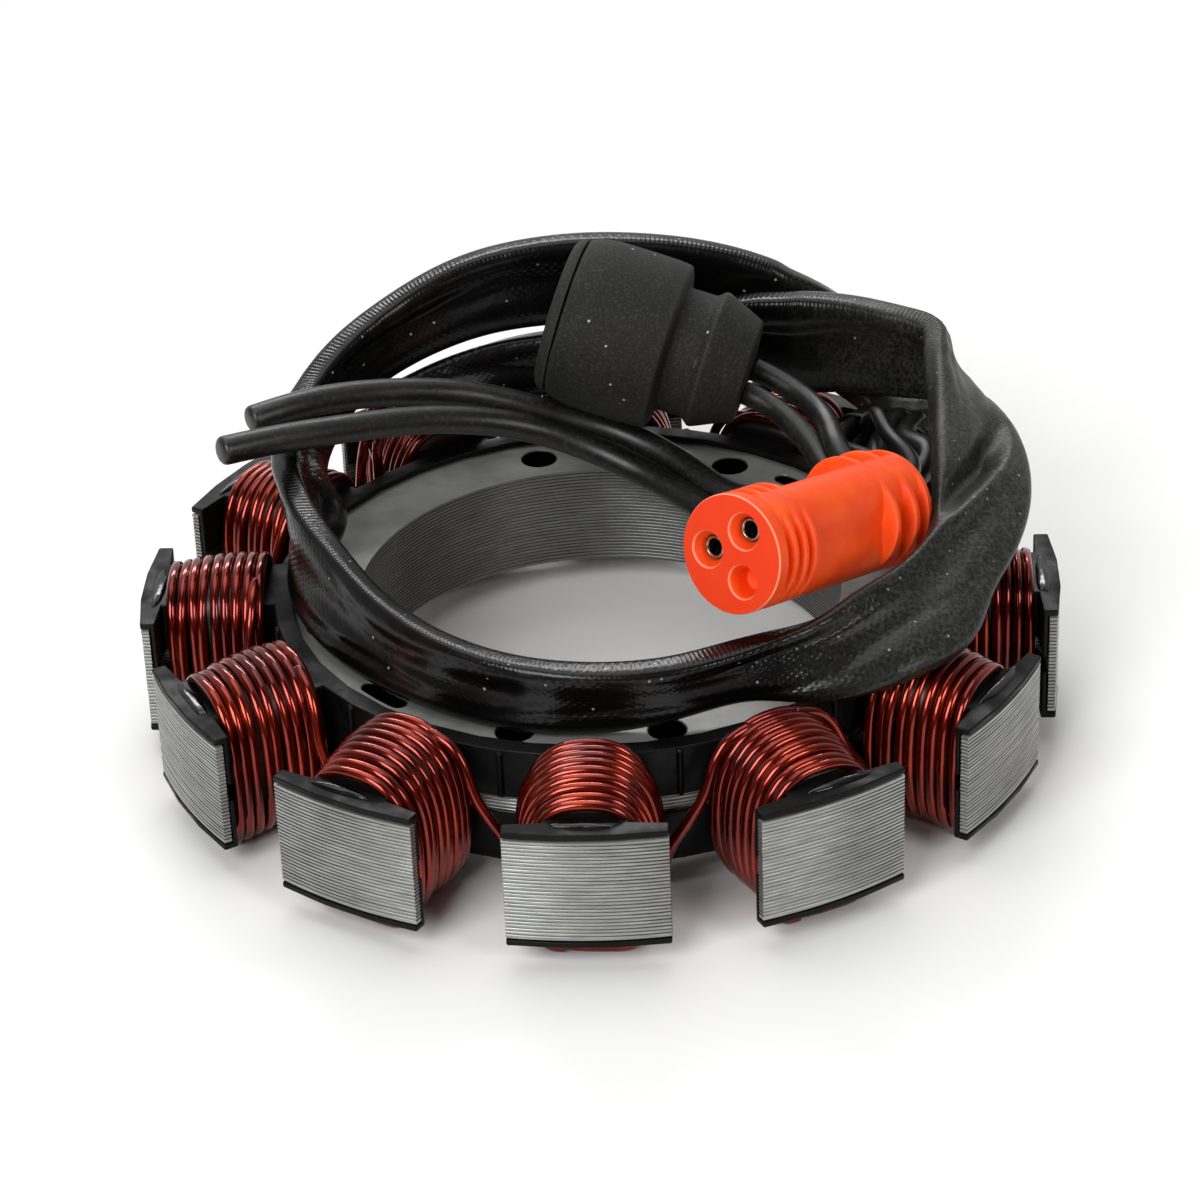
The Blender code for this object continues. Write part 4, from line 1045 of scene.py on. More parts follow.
rims = [hole_loop(place, HOLE_R + HOLE_BREAK) for place in HOLES]
rims += [slot_loop(middle, SLOT_HALF_W + HOLE_BREAK) for middle in SLOTS]
walls = [hole_loop(place, HOLE_R) for place in HOLES]
walls += [slot_loop(middle, SLOT_HALF_W) for middle in SLOTS]
loops = [outer_full, bore_full] + rims
pieces = [
    outer_wall,
    bore_wall,
    filled_face("top_face", loops, STACK_TOP, True),
    filled_face("low_face", loops, STACK_LOW, False),
]
for number, (rim, wall) in enumerate(zip(rims, walls)):
    pieces.append(shaded_hole_wall(f"hole_{number}", rim, wall))
stack = joined("stacked_sheets", pieces)
stack.data.shade_smooth()
stack.data.set_sharp_from_angle(angle=math.radians(30))
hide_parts("lamination_stack")
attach(stack, "root")
print("stacked_sheets:", len(stack.data.polygons), "faces")

# %% [markdown]
# ## The moulded insulation
#
# Two moulded half frames cover the ring's border, the teeth and the backs of the shoes. Their
# solids already have the right form, so each is copied, its loose triangles are merged back into
# flat faces, and a bevel rounds the edges as a mould does. Edges that catch a thin line of light
# are most of what tells black plastic from a black hole.

# %% Insulation with moulded edges
def softened_copy(node, name, width, segments=2):
    """The node's mesh merged, its flat faces dissolved, with a live bevel on edges over 35 deg."""
    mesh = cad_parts[node].data.copy()
    work = bmesh.new()
    work.from_mesh(mesh)
    bmesh.ops.remove_doubles(work, verts=work.verts, dist=2e-6)
    bmesh.ops.dissolve_limit(
        work, angle_limit=math.radians(0.6), verts=work.verts, edges=work.edges,
    )
    work.to_mesh(mesh)
    work.free()
    mesh.name = name
    mesh.materials.clear()
    piece = link_mesh(name, mesh)
    bevel = piece.modifiers.new("moulded edge", "BEVEL")
    bevel.width = width
    bevel.segments = segments
    bevel.limit_method = "ANGLE"
    bevel.angle_limit = math.radians(35)
    bevel.harden_normals = True
    mesh.set_sharp_from_angle(angle=math.radians(60))
    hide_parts(node)
    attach(piece, "root")
    return piece


upper_frame = softened_copy("upper_insulator", "upper_frame", 0.22 * MM)
lower_frame = softened_copy("lower_insulator", "lower_frame", 0.22 * MM)

# A moulded rib stands in the middle of each slot and catches the light as a thin upright line
rib_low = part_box("upper_insulator")[0][2] + 0.3 * MM
ribs = []
for index in range(POLES):
    foot = at(YOKE_R + 1.02 * MM, np.array(pole_azimuth(index) + POLE_ANGLE / 2))
    heights = np.linspace(rib_low, STACK_TOP + 1.0 * MM, 12)
    rib_way = np.column_stack((np.tile(foot, (12, 1)), heights))
    rib = tube(f"slot_rib_{index + 1:02d}", rib_way, 0.45 * MM, 12, guide=(1, 0, 0))
    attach(rib, "root")
    ribs.append(rib)
flat_faces = len(upper_frame.data.polygons) + len(lower_frame.data.polygons)
print("insulation:", flat_faces, "faces before the bevel")

# %% [markdown]
# Dipping leaves a glossy bead of varnish where the shoe's back meets the last turn of wire. Each
# pole gets one: a half ellipsoid, flattened and bent by a slow wave so that no two are alike.

# %% Beads of varnish
def bead_points(index, columns=28, rows=14):
    """x = a cos u sin v, y = b sin u sin v, z = c cos v, its lower half tucked into the plastic."""
    rng = np.random.default_rng(60 + index)
    u = np.arange(columns) * math.tau / columns
    v = np.linspace(0.02, math.pi - 0.02, rows)[:, None]
    long = rng.uniform(3.6, 6.0) * MM
    wide = rng.uniform(0.75, 0.95) * MM
    tall = rng.uniform(0.35, 0.6) * MM
    wave = 1 + 0.10 * np.sin(3 * u + rng.uniform(0, 6)) + 0.06 * np.sin(5 * u + rng.uniform(0, 6))
    x = 61.05 * MM + wide * np.cos(u) * np.sin(v) * wave
    y = rng.uniform(-1.5, 1.5) * MM + long * np.sin(u) * np.sin(v) * wave
    z = STACK_TOP + 1.2 * MM + tall * np.cos(v) + 0 * u
    return np.stack((*on_pole(x, y, index), z), axis=-1)


beads = []
for index in range(POLES):
    bead = outward(skin(f"varnish_bead_{index + 1:02d}", bead_points(index)))
    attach(bead, "root")
    beads.append(bead)
print("varnish beads:", len(beads))

# %% [markdown]
# ## The coils
#
# Each tooth carries thick enamelled wire, 1.5 mm across: nine turns side by side from the ring to
# the shoe, with a second layer over the six nearest the ring. A turn is a superellipse around the
# tooth, |y/a|^n + |z/b|^n = 1, and the wire moves on by one pitch along the underside, where the
# winder's step is. Hand-laid wire is never quite even: each turn is shifted, tilted and bulged a
# little by seeded numbers.

# %% Winding of one tooth
TURNS = 9
PITCH = (COIL_OUTER - COIL_INNER) / TURNS
COIL_MIDDLE = COIL_TOP / 2
WIRE_SIDES = 12
TURN_POINTS = 72
# How far each turn stands off the tooth, in mm, from the ring to the shoe: on top and at the sides
TOP_BUILD = (3.4, 3.45, 3.5, 3.45, 3.3, 3.05, 2.7, 2.2, 1.9)
SIDE_BUILD = (3.2, 3.4, 3.4, 3.35, 3.3, 3.05, 2.75, 2.45, 2.3)


def turn_line(number, rng):
    """One turn as points round the tooth, along +X, from the underside and back to it.

    The angle t runs from the bottom. y = a sgn(sin t)|sin t|^(2/n), z = -b sgn(cos t)|cos t|^(2/n),
    and x moves on by one pitch over the last part of the turn. The nearer to the shoe, the lower
    the turn and the squarer its corners."""
    build = SIDE_BUILD[number] * MM + rng.uniform(-0.1, 0.1) * MM
    top_build = TOP_BUILD[number] * MM + rng.uniform(-0.08, 0.05) * MM
    t = np.linspace(0, math.tau, TURN_POINTS, endpoint=False)
    up = np.clip(-np.cos(t), 0, 1)
    near_shoe = np.clip((number - 4.5) / 3.5, 0, 1)
    power = 2.75 + 2.6 * near_shoe * (up == 0) - (0.35 - 0.25 * near_shoe) * (up > 0)
    half_w = HALF_TOOTH_CLEAR + build - WIRE_D / 2
    half_low = COIL_MIDDLE - (3.4 * MM - build) * 0.9 - WIRE_D / 2
    half_high = COIL_MIDDLE - (3.4 * MM - top_build) - WIRE_D / 2
    side = signed_power(np.sin(t), 2 / power)
    rise = -signed_power(np.cos(t), 2 / power)
    flank = np.abs(np.sin(t)) ** 3
    y = half_w * side + np.sign(side) * rng.uniform(-0.1, 0.45) * MM * flank
    z = COIL_MIDDLE + np.where(rise > 0, half_high, half_low) * rise
    z = z + rng.uniform(0.1, 0.4) * MM * near_shoe * up**4
    z = np.maximum(z - 1.2 * MM * near_shoe * np.clip(np.cos(t), 0, 1) ** 3, WIRE_D / 2 + 0.12 * MM)
    share = t / math.tau
    step = np.clip((share - 0.93) / 0.07, 0, 1)
    moved_on = PITCH * step * step * (3 - 2 * step) * (number < TURNS - 1)
    x = COIL_INNER + (number + 0.5) * PITCH + moved_on
    sway = rng.uniform(-0.12, 0.12) * MM * np.sin(t + rng.uniform(0, 6))
    sway = sway + rng.uniform(-0.3, 0.3) * MM * flank * np.where(side > 0, 1, rng.uniform(-1, 1))
    x = np.clip(x + sway, COIL_INNER + WIRE_D / 2, COIL_OUTER - WIRE_D / 2)
    return np.stack((x, y, z), axis=1)


def winding(index):
    """All turns of a coil as one long line, turned to its pole."""
    rng = np.random.default_rng(100 + index)
    line = np.concatenate([turn_line(number, rng) for number in range(TURNS)])
    line = softened(line, 1.2)
    return np.stack((*on_pole(line[:, 0], line[:, 1], index), line[:, 2]), axis=1)


def core_points(index):
    """The inside of a coil, painted near black as the shade between the turns: a rounded block one
    wire smaller than the turns.
    """
    t = np.arange(48) * math.tau / 48
    out = np.array((46.5, 46.5, 53.0, 56.0, 59.2, 59.2)) * MM
    build = np.array((0.3, 2.0, 2.0, 0.9, 0.5, 0.3)) * MM
    y = (HALF_TOOTH_CLEAR + build)[:, None] * signed_power(np.cos(t), 0.55)
    z = COIL_MIDDLE + (COIL_MIDDLE - 3.4 * MM + build)[:, None] * signed_power(np.sin(t), 0.55)
    x = np.repeat(out[:, None], len(t), axis=1)
    return np.stack((*on_pole(x, y, index), z), axis=-1)


coils = []
cores = []
for index in range(POLES):
    axis = at(1.0, np.array(pole_azimuth(index)))
    coil = tube(
        f"winding_{index + 1:02d}", winding(index), WIRE_D / 2, WIRE_SIDES, guide=(*axis, 0),
    )
    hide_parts(f"coil_{index + 1:02d}")
    core = outward(skin(f"winding_core_{index + 1:02d}", core_points(index)))
    coils.append(coil)
    cores.append(core)
    for piece in (coil, core):
        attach(piece, "root")
print("windings:", sum(len(coil.data.polygons) for coil in coils), "faces")

# %% [markdown]
# Between two coils the wire crosses over: it leaves the top of one coil, leans through the slot and
# goes under the next. At the back, three ends rise together and turn into the sleeve.

# %% Crossover wires and the winding's ends
FLANK = HALF_TOOTH_CLEAR + 3.4 * MM


def crossover_way(index, back_wound):
    """Off one coil's shoulder, slanting down the slot, and under the next coil's flank. A wire that
    was wound back is the same way mirrored in its slot."""
    out = COIL_INNER + 1.6 * MM
    high, low, side = (index + 1, index, -1) if back_wound else (index, index + 1, 1)
    shoulder = [
        (*on_pole(out - 0.4 * MM, 3.0 * MM * side, high), 23.4 * MM),
        (*on_pole(out - 0.2 * MM, (FLANK - 2.6 * MM) * side, high), 22.6 * MM),
        (*on_pole(out, (FLANK - 0.3 * MM) * side, high), 20.0 * MM),
        (*on_pole(out + 0.4 * MM, (FLANK + 0.9 * MM) * side, high), 16.9 * MM),
    ]
    under = [
        (*on_pole(out + 0.4 * MM, -(FLANK + 0.9 * MM) * side, low), 8.2 * MM),
        (*on_pole(out, -(FLANK - 0.5 * MM) * side, low), 4.6 * MM),
        (*on_pole(out - 0.2 * MM, -(FLANK - 3.0 * MM) * side, low), 2.2 * MM),
        (*on_pole(out - 0.2 * MM, -3.0 * MM * side, low), 1.8 * MM),
    ]
    return shoulder + under


wires = []
END_POLE = 7
crossed_slots = [index for index in range(POLES) if index != END_POLE]
for number, index in enumerate(crossed_slots, 1):
    way = softened(smooth_rows(crossover_way(index, index == 0), 0.6 * MM), 2.0)
    guide = at(1.0, np.array(pole_azimuth(index) + POLE_ANGLE / 2))
    wire = tube(f"crossover_{number:02d}", way, WIRE_D / 2, WIRE_SIDES, guide=(*guide, 0))
    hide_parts(f"crossover_wire_{number:02d}")
    wires.append(wire)

here = pole_azimuth(END_POLE)
beside = FLANK + FIT + WIRE_D / 2
feet = (
    on_pole(COIL_INNER + 2.3 * WIRE_D, beside, END_POLE),
    on_pole(COIL_INNER + WIRE_D, -beside, END_POLE + 1),
    tuple(at(COIL_INNER + 0.8 * WIRE_D, np.array(here + POLE_ANGLE / 2))),
)
for number, (order, foot) in enumerate(zip((1, 0, -1), feet), 1):
    end = cad_rows[0, :3] - FIT * cad_course[0] + order * (WIRE_D + 2 * FIT) * cad_width[0]
    entry = end - 2 * WIRE_D * cad_course[0]
    way = [(*foot, STACK_LOW + STACK_H / 2), (*foot, STACK_TOP - WIRE_D), tuple(entry), tuple(end)]
    line = softened(smooth_rows(way, 0.6 * MM), 2.0)
    guide = (math.cos(here), math.sin(here), 0.3)
    wire = tube(f"winding_end_{number}", line, WIRE_D / 2, WIRE_SIDES, guide=guide)
    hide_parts(f"coil_end_{number}")
    wires.append(wire)
for wire in wires:
    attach(wire, "root")
print("separate wires:", len(wires))

# %% [markdown]
# ## Finishes
#
# Colours are written as sRGB hex, as read off a picture, and one function turns them into the
# linear values a shader takes. A second function adds a node with its settings, its links and,
# where it is a colour ramp, its stops. Patterns are scaled from real sizes: a noise of scale 1000
# has features of about a millimetre, because object coordinates are metres.

# %% Colour and node helpers
def linear(hex_colour):
    """sRGB to linear: c / 12.92 when dark, else ((c + 0.055) / 1.055) to the power 2.4."""
    channels = np.array([int(hex_colour[i : i + 2], 16) / 255 for i in (0, 2, 4)])
    low = channels / 12.92
    high = ((channels + 0.055) / 1.055) ** 2.4
    return (*np.where(channels <= 0.04045, low, high).tolist(), 1.0)


def add_node(tree, kind, sockets=None, stops=(), **settings):
    """Adds a node, sets its properties, and fills its sockets with values or with links.

    Stops are (position, hex colour), from the first to the last of a colour ramp."""
    node = tree.nodes.new(kind)
    for name, value in settings.items():
        setattr(node, name, value)
    for name, value in (sockets or {}).items():
        if isinstance(value, bpy.types.NodeSocket):
            tree.links.new(value, node.inputs[name])
        else:
            node.inputs[name].default_value = value
    if stops:
        elements = node.color_ramp.elements
        elements[0].position, elements[0].color = stops[0][0], linear(stops[0][1])
        elements[1].position, elements[1].color = stops[-1][0], linear(stops[-1][1])
        for position, colour in stops[1:-1]:
            elements.new(position).color = linear(colour)
    return node


def new_finish(name):
    """An empty Principled material: returns it with its tree and its shader."""
    material = bpy.data.materials.new(name)
    material.use_nodes = True
    tree = material.node_tree
    return material, tree, tree.nodes["Principled BSDF"]


def finish_with(piece, *materials):
    """Gives the piece these materials and no other."""
    piece.data.materials.clear()
    for material in materials:
        piece.data.materials.append(material)

# %% [markdown]
# **Varnished sheet steel.** The stamped edges are bare steel under a thin clear varnish: pale grey
# on each edge and almost black in the groove, with a faint warm stain. The flat top is darker and
# more glossy where the varnish ran, and duller where it is thin.

# %% Varnished sheet steel
steel, tree, shader = new_finish("varnished electrical steel")
place = add_node(tree, "ShaderNodeTexCoord").outputs["Object"]
groove_mark = add_node(tree, "ShaderNodeAttribute", attribute_name="groove").outputs["Fac"]
stretched = add_node(
    tree, "ShaderNodeMapping", {"Vector": place, "Scale": (1.0, 1.0, 8.0)},
).outputs["Vector"]
streak = add_node(
    tree, "ShaderNodeTexNoise", {"Vector": stretched, "Scale": 240, "Detail": 3},
).outputs["Fac"]
stain = add_node(
    tree, "ShaderNodeTexNoise", {"Vector": place, "Scale": 70, "Detail": 4},
).outputs["Fac"]
edge_colour = add_node(
    tree, "ShaderNodeValToRGB", {"Fac": streak},
    stops=((0.3, "8D8E8B"), (0.5, "9B9C99"), (0.72, "ACADAA")),
).outputs["Color"]
dirty = add_node(
    tree, "ShaderNodeValToRGB", {"Fac": stain},
    stops=((0.3, "DAD8D3"), (0.55, "FFFFFF"), (0.75, "ECEAE6")),
).outputs["Color"]
edge_colour = add_node(
    tree, "ShaderNodeMix", {0: 1.0, 6: edge_colour, 7: dirty}, data_type="RGBA",
    blend_type="MULTIPLY",
).outputs[2]
level_place = add_node(
    tree, "ShaderNodeMapping", {"Vector": place, "Scale": (1.0, 1.0, 0.0)},
).outputs["Vector"]
from_axis = add_node(
    tree, "ShaderNodeVectorMath", {0: level_place}, operation="LENGTH",
).outputs["Value"]
# Inside the bore the edge colour is mixed up to 55% towards dark grey: painted shade on the bore's
# wall.
bore_painted_shade = add_node(
    tree, "ShaderNodeMapRange", {0: from_axis, 1: 0.036, 2: 0.0345, 3: 0.0, 4: 0.55},
).outputs[0]
edge_colour = add_node(
    tree, "ShaderNodeMix", {0: bore_painted_shade, 6: edge_colour, 7: linear("2C2B29")}, data_type="RGBA",
).outputs[2]
edge_colour = add_node(
    tree, "ShaderNodeMix", {0: groove_mark, 6: edge_colour, 7: linear("080807")}, data_type="RGBA",
).outputs[2]
tree.links.new(edge_colour, shader.inputs["Base Color"])
shader.inputs["Metallic"].default_value = 0.8
rough = add_node(tree, "ShaderNodeMapRange", {0: stain, 3: 0.30, 4: 0.46}).outputs[0]
tree.links.new(rough, shader.inputs["Roughness"])
shader.inputs["Coat Weight"].default_value = 0.25
shader.inputs["Coat Roughness"].default_value = 0.2
pit = add_node(
    tree, "ShaderNodeTexNoise", {"Vector": place, "Scale": 3000, "Detail": 2},
).outputs["Fac"]
bump = add_node(tree, "ShaderNodeBump", {"Height": pit, "Strength": 0.3, "Distance": 0.00002})
tree.links.new(bump.outputs["Normal"], shader.inputs["Normal"])

flat_steel, tree, shader = new_finish("varnished sheet face")
place = add_node(tree, "ShaderNodeTexCoord").outputs["Object"]
cloud = add_node(
    tree, "ShaderNodeTexNoise", {"Vector": place, "Scale": 90, "Detail": 5, "Roughness": 0.6},
).outputs["Fac"]
grain = add_node(
    tree, "ShaderNodeTexNoise", {"Vector": place, "Scale": 1500, "Detail": 3},
).outputs["Fac"]
face_colour = add_node(
    tree, "ShaderNodeValToRGB", {"Fac": cloud},
    stops=((0.3, "7C7D7A"), (0.5, "929390"), (0.72, "A9AAA6")),
).outputs["Color"]
tree.links.new(face_colour, shader.inputs["Base Color"])
shader.inputs["Metallic"].default_value = 0.4
rough = add_node(tree, "ShaderNodeMapRange", {0: cloud, 3: 0.62, 4: 0.46}).outputs[0]
tree.links.new(rough, shader.inputs["Roughness"])
shader.inputs["Coat Weight"].default_value = 0.12
shader.inputs["Coat Roughness"].default_value = 0.3
bump = add_node(tree, "ShaderNodeBump", {"Height": grain, "Strength": 0.4, "Distance": 0.00003})
tree.links.new(bump.outputs["Normal"], shader.inputs["Normal"])
finish_with(stack, steel, flat_steel)
normals = np.empty(len(stack.data.polygons) * 3, dtype=np.float32)
stack.data.polygons.foreach_get("normal", normals)
lies_flat = (np.abs(normals.reshape(-1, 3)[:, 2]) > 0.9).astype(np.int32)
stack.data.polygons.foreach_set("material_index", lies_flat)
print("flat faces:", int(lies_flat.sum()))

# %% [markdown]
# **Black moulded nylon, varnish-dipped.** Filled nylon is a dull dark grey; the dip leaves it
# patchily glossy. The colour stays almost black, and the roughness and a low, wide bump do the
# rest.

# %% Moulded nylon and varnish
nylon, tree, shader = new_finish("dipped black nylon")
place = add_node(tree, "ShaderNodeTexCoord").outputs["Object"]
pool = add_node(
    tree, "ShaderNodeTexNoise", {"Vector": place, "Scale": 170, "Detail": 3},
).outputs["Fac"]
grit = add_node(
    tree, "ShaderNodeTexNoise", {"Vector": place, "Scale": 2600, "Detail": 2},
).outputs["Fac"]
black = add_node(
    tree, "ShaderNodeValToRGB", {"Fac": grit},
    stops=((0.3, "030303"), (0.62, "060606"), (0.8, "131312")),
).outputs["Color"]
tree.links.new(black, shader.inputs["Base Color"])
pooled = add_node(
    tree, "ShaderNodeValToRGB", {"Fac": pool}, stops=((0.4, "000000"), (0.6, "FFFFFF")),
).outputs["Color"]
rough = add_node(tree, "ShaderNodeMapRange", {0: pooled, 3: 0.34, 4: 0.62}).outputs[0]
tree.links.new(rough, shader.inputs["Roughness"])
shader.inputs["Specular IOR Level"].default_value = 0.16
low_bump = add_node(tree, "ShaderNodeBump", {"Height": pool, "Strength": 0.6, "Distance": 0.0004})
bump = add_node(
    tree, "ShaderNodeBump",
    {"Height": grit, "Strength": 0.35, "Distance": 0.00006, "Normal": low_bump.outputs["Normal"]},
)
tree.links.new(bump.outputs["Normal"], shader.inputs["Normal"])
for piece in [upper_frame, lower_frame] + ribs:
    finish_with(piece, nylon)

varnish, tree, shader = new_finish("black varnish bead")
place = add_node(tree, "ShaderNodeTexCoord").outputs["Object"]
wave = add_node(
    tree, "ShaderNodeTexNoise", {"Vector": place, "Scale": 350, "Detail": 2},
).outputs["Fac"]
shader.inputs["Base Color"].default_value = linear("060606")
shader.inputs["Roughness"].default_value = 0.16
bump = add_node(tree, "ShaderNodeBump", {"Height": wave, "Strength": 0.4, "Distance": 0.0003})
tree.links.new(bump.outputs["Normal"], shader.inputs["Normal"])
for bead in beads:
    finish_with(bead, varnish)

# %% [markdown]
# **Enamelled copper wire.** A clear red-brown enamel over copper: the metal's reflection comes back
# through the colour, deep brown-red at a glance and bright orange along each crest, under a clear
# coat that adds a thin white line. Long soft streaks along the wire vary the depth of the enamel.

# %% Enamelled wire
enamel, tree, shader = new_finish("red enamelled copper wire")
way_uv = add_node(tree, "ShaderNodeUVMap", uv_map="UVMap").outputs["UV"]
stretched = add_node(
    tree, "ShaderNodeMapping", {"Vector": way_uv, "Scale": (1.0, 0.12, 1.0)},
).outputs["Vector"]
streak = add_node(
    tree, "ShaderNodeTexNoise", {"Vector": stretched, "Scale": 900, "Detail": 3},
).outputs["Fac"]
place = add_node(tree, "ShaderNodeTexCoord").outputs["Object"]
patch = add_node(
    tree, "ShaderNodeTexNoise", {"Vector": place, "Scale": 130, "Detail": 3},
).outputs["Fac"]
tone = add_node(
    tree, "ShaderNodeValToRGB", {"Fac": patch},
    stops=((0.3, "560C04"), (0.5, "761606"), (0.72, "A02E0C")),
).outputs["Color"]
tree.links.new(tone, shader.inputs["Base Color"])
shader.inputs["Metallic"].default_value = 0.9
rough = add_node(tree, "ShaderNodeMapRange", {0: streak, 3: 0.14, 4: 0.26}).outputs[0]
tree.links.new(rough, shader.inputs["Roughness"])
shader.inputs["Coat Weight"].default_value = 0.6
shader.inputs["Coat Roughness"].default_value = 0.08
bump = add_node(tree, "ShaderNodeBump", {"Height": streak, "Strength": 0.4, "Distance": 0.00005})
tree.links.new(bump.outputs["Normal"], shader.inputs["Normal"])
for piece in coils + wires:
    finish_with(piece, enamel)

# The core's near black is painted shade: it stands for the shaded inner turns seen between the outer
# ones.
core_painted_shade, tree, shader = new_finish("winding core painted shade")
place = add_node(tree, "ShaderNodeTexCoord").outputs["Object"]
core_mottle = add_node(
    tree, "ShaderNodeTexNoise", {"Vector": place, "Scale": 500, "Detail": 2},
).outputs["Fac"]
core_shade_tone = add_node(
    tree, "ShaderNodeValToRGB", {"Fac": core_mottle}, stops=((0.3, "060201"), (0.7, "0D0403")),
).outputs["Color"]
tree.links.new(core_shade_tone, shader.inputs["Base Color"])
shader.inputs["Roughness"].default_value = 0.4
for core in cores:
    finish_with(core, core_painted_shade)

# %% [markdown]
# ** Varnished woven sleeving.** Glass yarn braided at about 40 degrees, 0.8 mm from crossing to crossing, under black varnish. Two waves along the two yarn directions, multiplied, give the braid's height; a slow noise says where varnish has filled it, and there the surface is smooth and glossy. On the two folded edges the yarns bunch into cross ribs, 0.62 mm apart. At the right the sleeve is drier, and its colour is painted greyer in blotches, as painted light on its lit side. Pale specks of dust lie on all of it.

# %% Woven sleeving
sleeving, tree, shader = new_finish("black varnished glass sleeving")
way_uv = add_node(tree, "ShaderNodeUVMap", uv_map="UVMap").outputs["UV"]
# A wave texture of scale 1 has its bands 0.314 m apart
YARN_SCALE = 0.314 / 0.0008
RIB_SCALE = 0.314 / 0.00062
yarns = []
for tilt in (40, -40):
    turned_uv = add_node(
        tree, "ShaderNodeMapping", {"Vector": way_uv, "Rotation": (0, 0, math.radians(tilt))},
    ).outputs["Vector"]
    wave = add_node(
        tree, "ShaderNodeTexWave",
        {"Vector": turned_uv, "Scale": YARN_SCALE, "Distortion": 0.8, "Detail": 1.0},
        wave_profile="SIN",
    )
    yarns.append(wave.outputs["Fac"])
rib_wave = add_node(
    tree, "ShaderNodeTexWave",
    {"Vector": way_uv, "Scale": RIB_SCALE, "Distortion": 1.5, "Detail": 1.0}, wave_profile="SIN",
    bands_direction="Y",
).outputs["Fac"]
braid = add_node(
    tree, "ShaderNodeMath", {0: yarns[0], 1: yarns[1]}, operation="MULTIPLY",
).outputs[0]
place = add_node(tree, "ShaderNodeTexCoord").outputs["Object"]
edge_mark = add_node(tree, "ShaderNodeAttribute", attribute_name="edge").outputs["Fac"]
filled = add_node(
    tree, "ShaderNodeTexNoise", {"Vector": place, "Scale": 85, "Detail": 4, "Roughness": 0.55},
).outputs["Fac"]
bare = add_node(
    tree, "ShaderNodeValToRGB", {"Fac": filled}, stops=((0.4, "000000"), (0.66, "FFFFFF")),
).outputs["Color"]
braid_share = add_node(tree, "ShaderNodeMapRange", {0: bare, 3: 0.06, 4: 0.75}).outputs[0]
woven = add_node(
    tree, "ShaderNodeMath", {0: braid, 1: braid_share}, operation="MULTIPLY",
).outputs[0]
rib_share = add_node(tree, "ShaderNodeMapRange", {0: edge_mark, 3: 0.0, 4: 0.65}).outputs[0]
edge_ribs = add_node(
    tree, "ShaderNodeMath", {0: rib_wave, 1: rib_share}, operation="MULTIPLY",
).outputs[0]
shown = add_node(tree, "ShaderNodeMath", {0: woven, 1: edge_ribs}, operation="MAXIMUM").outputs[0]
brown = add_node(
    tree, "ShaderNodeTexNoise", {"Vector": place, "Scale": 55, "Detail": 3},
).outputs["Fac"]
body = add_node(
    tree, "ShaderNodeValToRGB", {"Fac": brown},
    stops=((0.45, "050505"), (0.6, "080706"), (0.72, "1A100B")),
).outputs["Color"]
specks = add_node(
    tree, "ShaderNodeTexVoronoi", {"Vector": place, "Scale": 330.0}, feature="F1",
).outputs["Distance"]
dust = add_node(
    tree, "ShaderNodeValToRGB", {"Fac": specks}, stops=((0.05, "FFFFFF"), (0.08, "000000")),
).outputs["Color"]
blotch = add_node(
    tree, "ShaderNodeTexNoise", {"Vector": place, "Scale": 420, "Detail": 4, "Roughness": 0.6},
).outputs["Fac"]
slow_grey = add_node(
    tree, "ShaderNodeValToRGB", {"Fac": blotch}, stops=((0.36, "000000"), (0.62, "FFFFFF")),
).outputs["Color"]
body = add_node(
    tree, "ShaderNodeMix", {0: dust, 6: body, 7: linear("8B8983")}, data_type="RGBA",
).outputs[2]
satin = add_node(
    tree, "ShaderNodeTexNoise", {"Vector": place, "Scale": 130, "Detail": 4, "Roughness": 0.6},
).outputs["Fac"]
dull = add_node(tree, "ShaderNodeMapRange", {0: satin, 3: 0.10, 4: 0.36}).outputs[0]
out_right = add_node(tree, "ShaderNodeSeparateXYZ", {0: place}).outputs["X"]
# From x = 24 mm to 50 mm the colour is mixed towards grey in blotches: painted light on the sleeve's
# lit right side.
right_side_painted_light = add_node(
    tree, "ShaderNodeMapRange", {0: out_right, 1: 0.024, 2: 0.050, 3: 0.0, 4: 1.0},
).outputs[0]
grey_share = add_node(tree, "ShaderNodeMapRange", {0: slow_grey, 3: 0.5, 4: 1.0}).outputs[0]
right_side_painted_light = add_node(
    tree, "ShaderNodeMath", {0: right_side_painted_light, 1: grey_share}, operation="MULTIPLY",
).outputs[0]
fine = add_node(
    tree, "ShaderNodeTexNoise", {"Vector": place, "Scale": 1900, "Detail": 2, "Roughness": 0.7},
).outputs["Fac"]
pore = add_node(
    tree, "ShaderNodeValToRGB", {"Fac": fine}, stops=((0.42, "000000"), (0.6, "FFFFFF")),
).outputs["Color"]
pore_share = add_node(tree, "ShaderNodeMapRange", {0: pore, 3: 0.1, 4: 1.0}).outputs[0]
right_side_painted_light = add_node(
    tree, "ShaderNodeMath", {0: right_side_painted_light, 1: pore_share}, operation="MULTIPLY",
).outputs[0]
body = add_node(
    tree, "ShaderNodeMix", {0: right_side_painted_light, 6: body, 7: linear("3A3A34")}, data_type="RGBA",
).outputs[2]
tree.links.new(body, shader.inputs["Base Color"])
dry = add_node(
    tree, "ShaderNodeMapRange", {0: out_right, 1: 0.026, 2: 0.046, 3: 0.0, 4: 0.2},
).outputs[0]
rough = add_node(tree, "ShaderNodeMath", {0: dull, 1: dry}, operation="ADD").outputs[0]
tree.links.new(rough, shader.inputs["Roughness"])
shader.inputs["Specular IOR Level"].default_value = 0.32
slow = add_node(
    tree, "ShaderNodeTexNoise", {"Vector": place, "Scale": 190, "Detail": 3},
).outputs["Fac"]
wide_bump = add_node(tree, "ShaderNodeBump", {"Height": slow, "Strength": 0.4, "Distance": 0.0005})
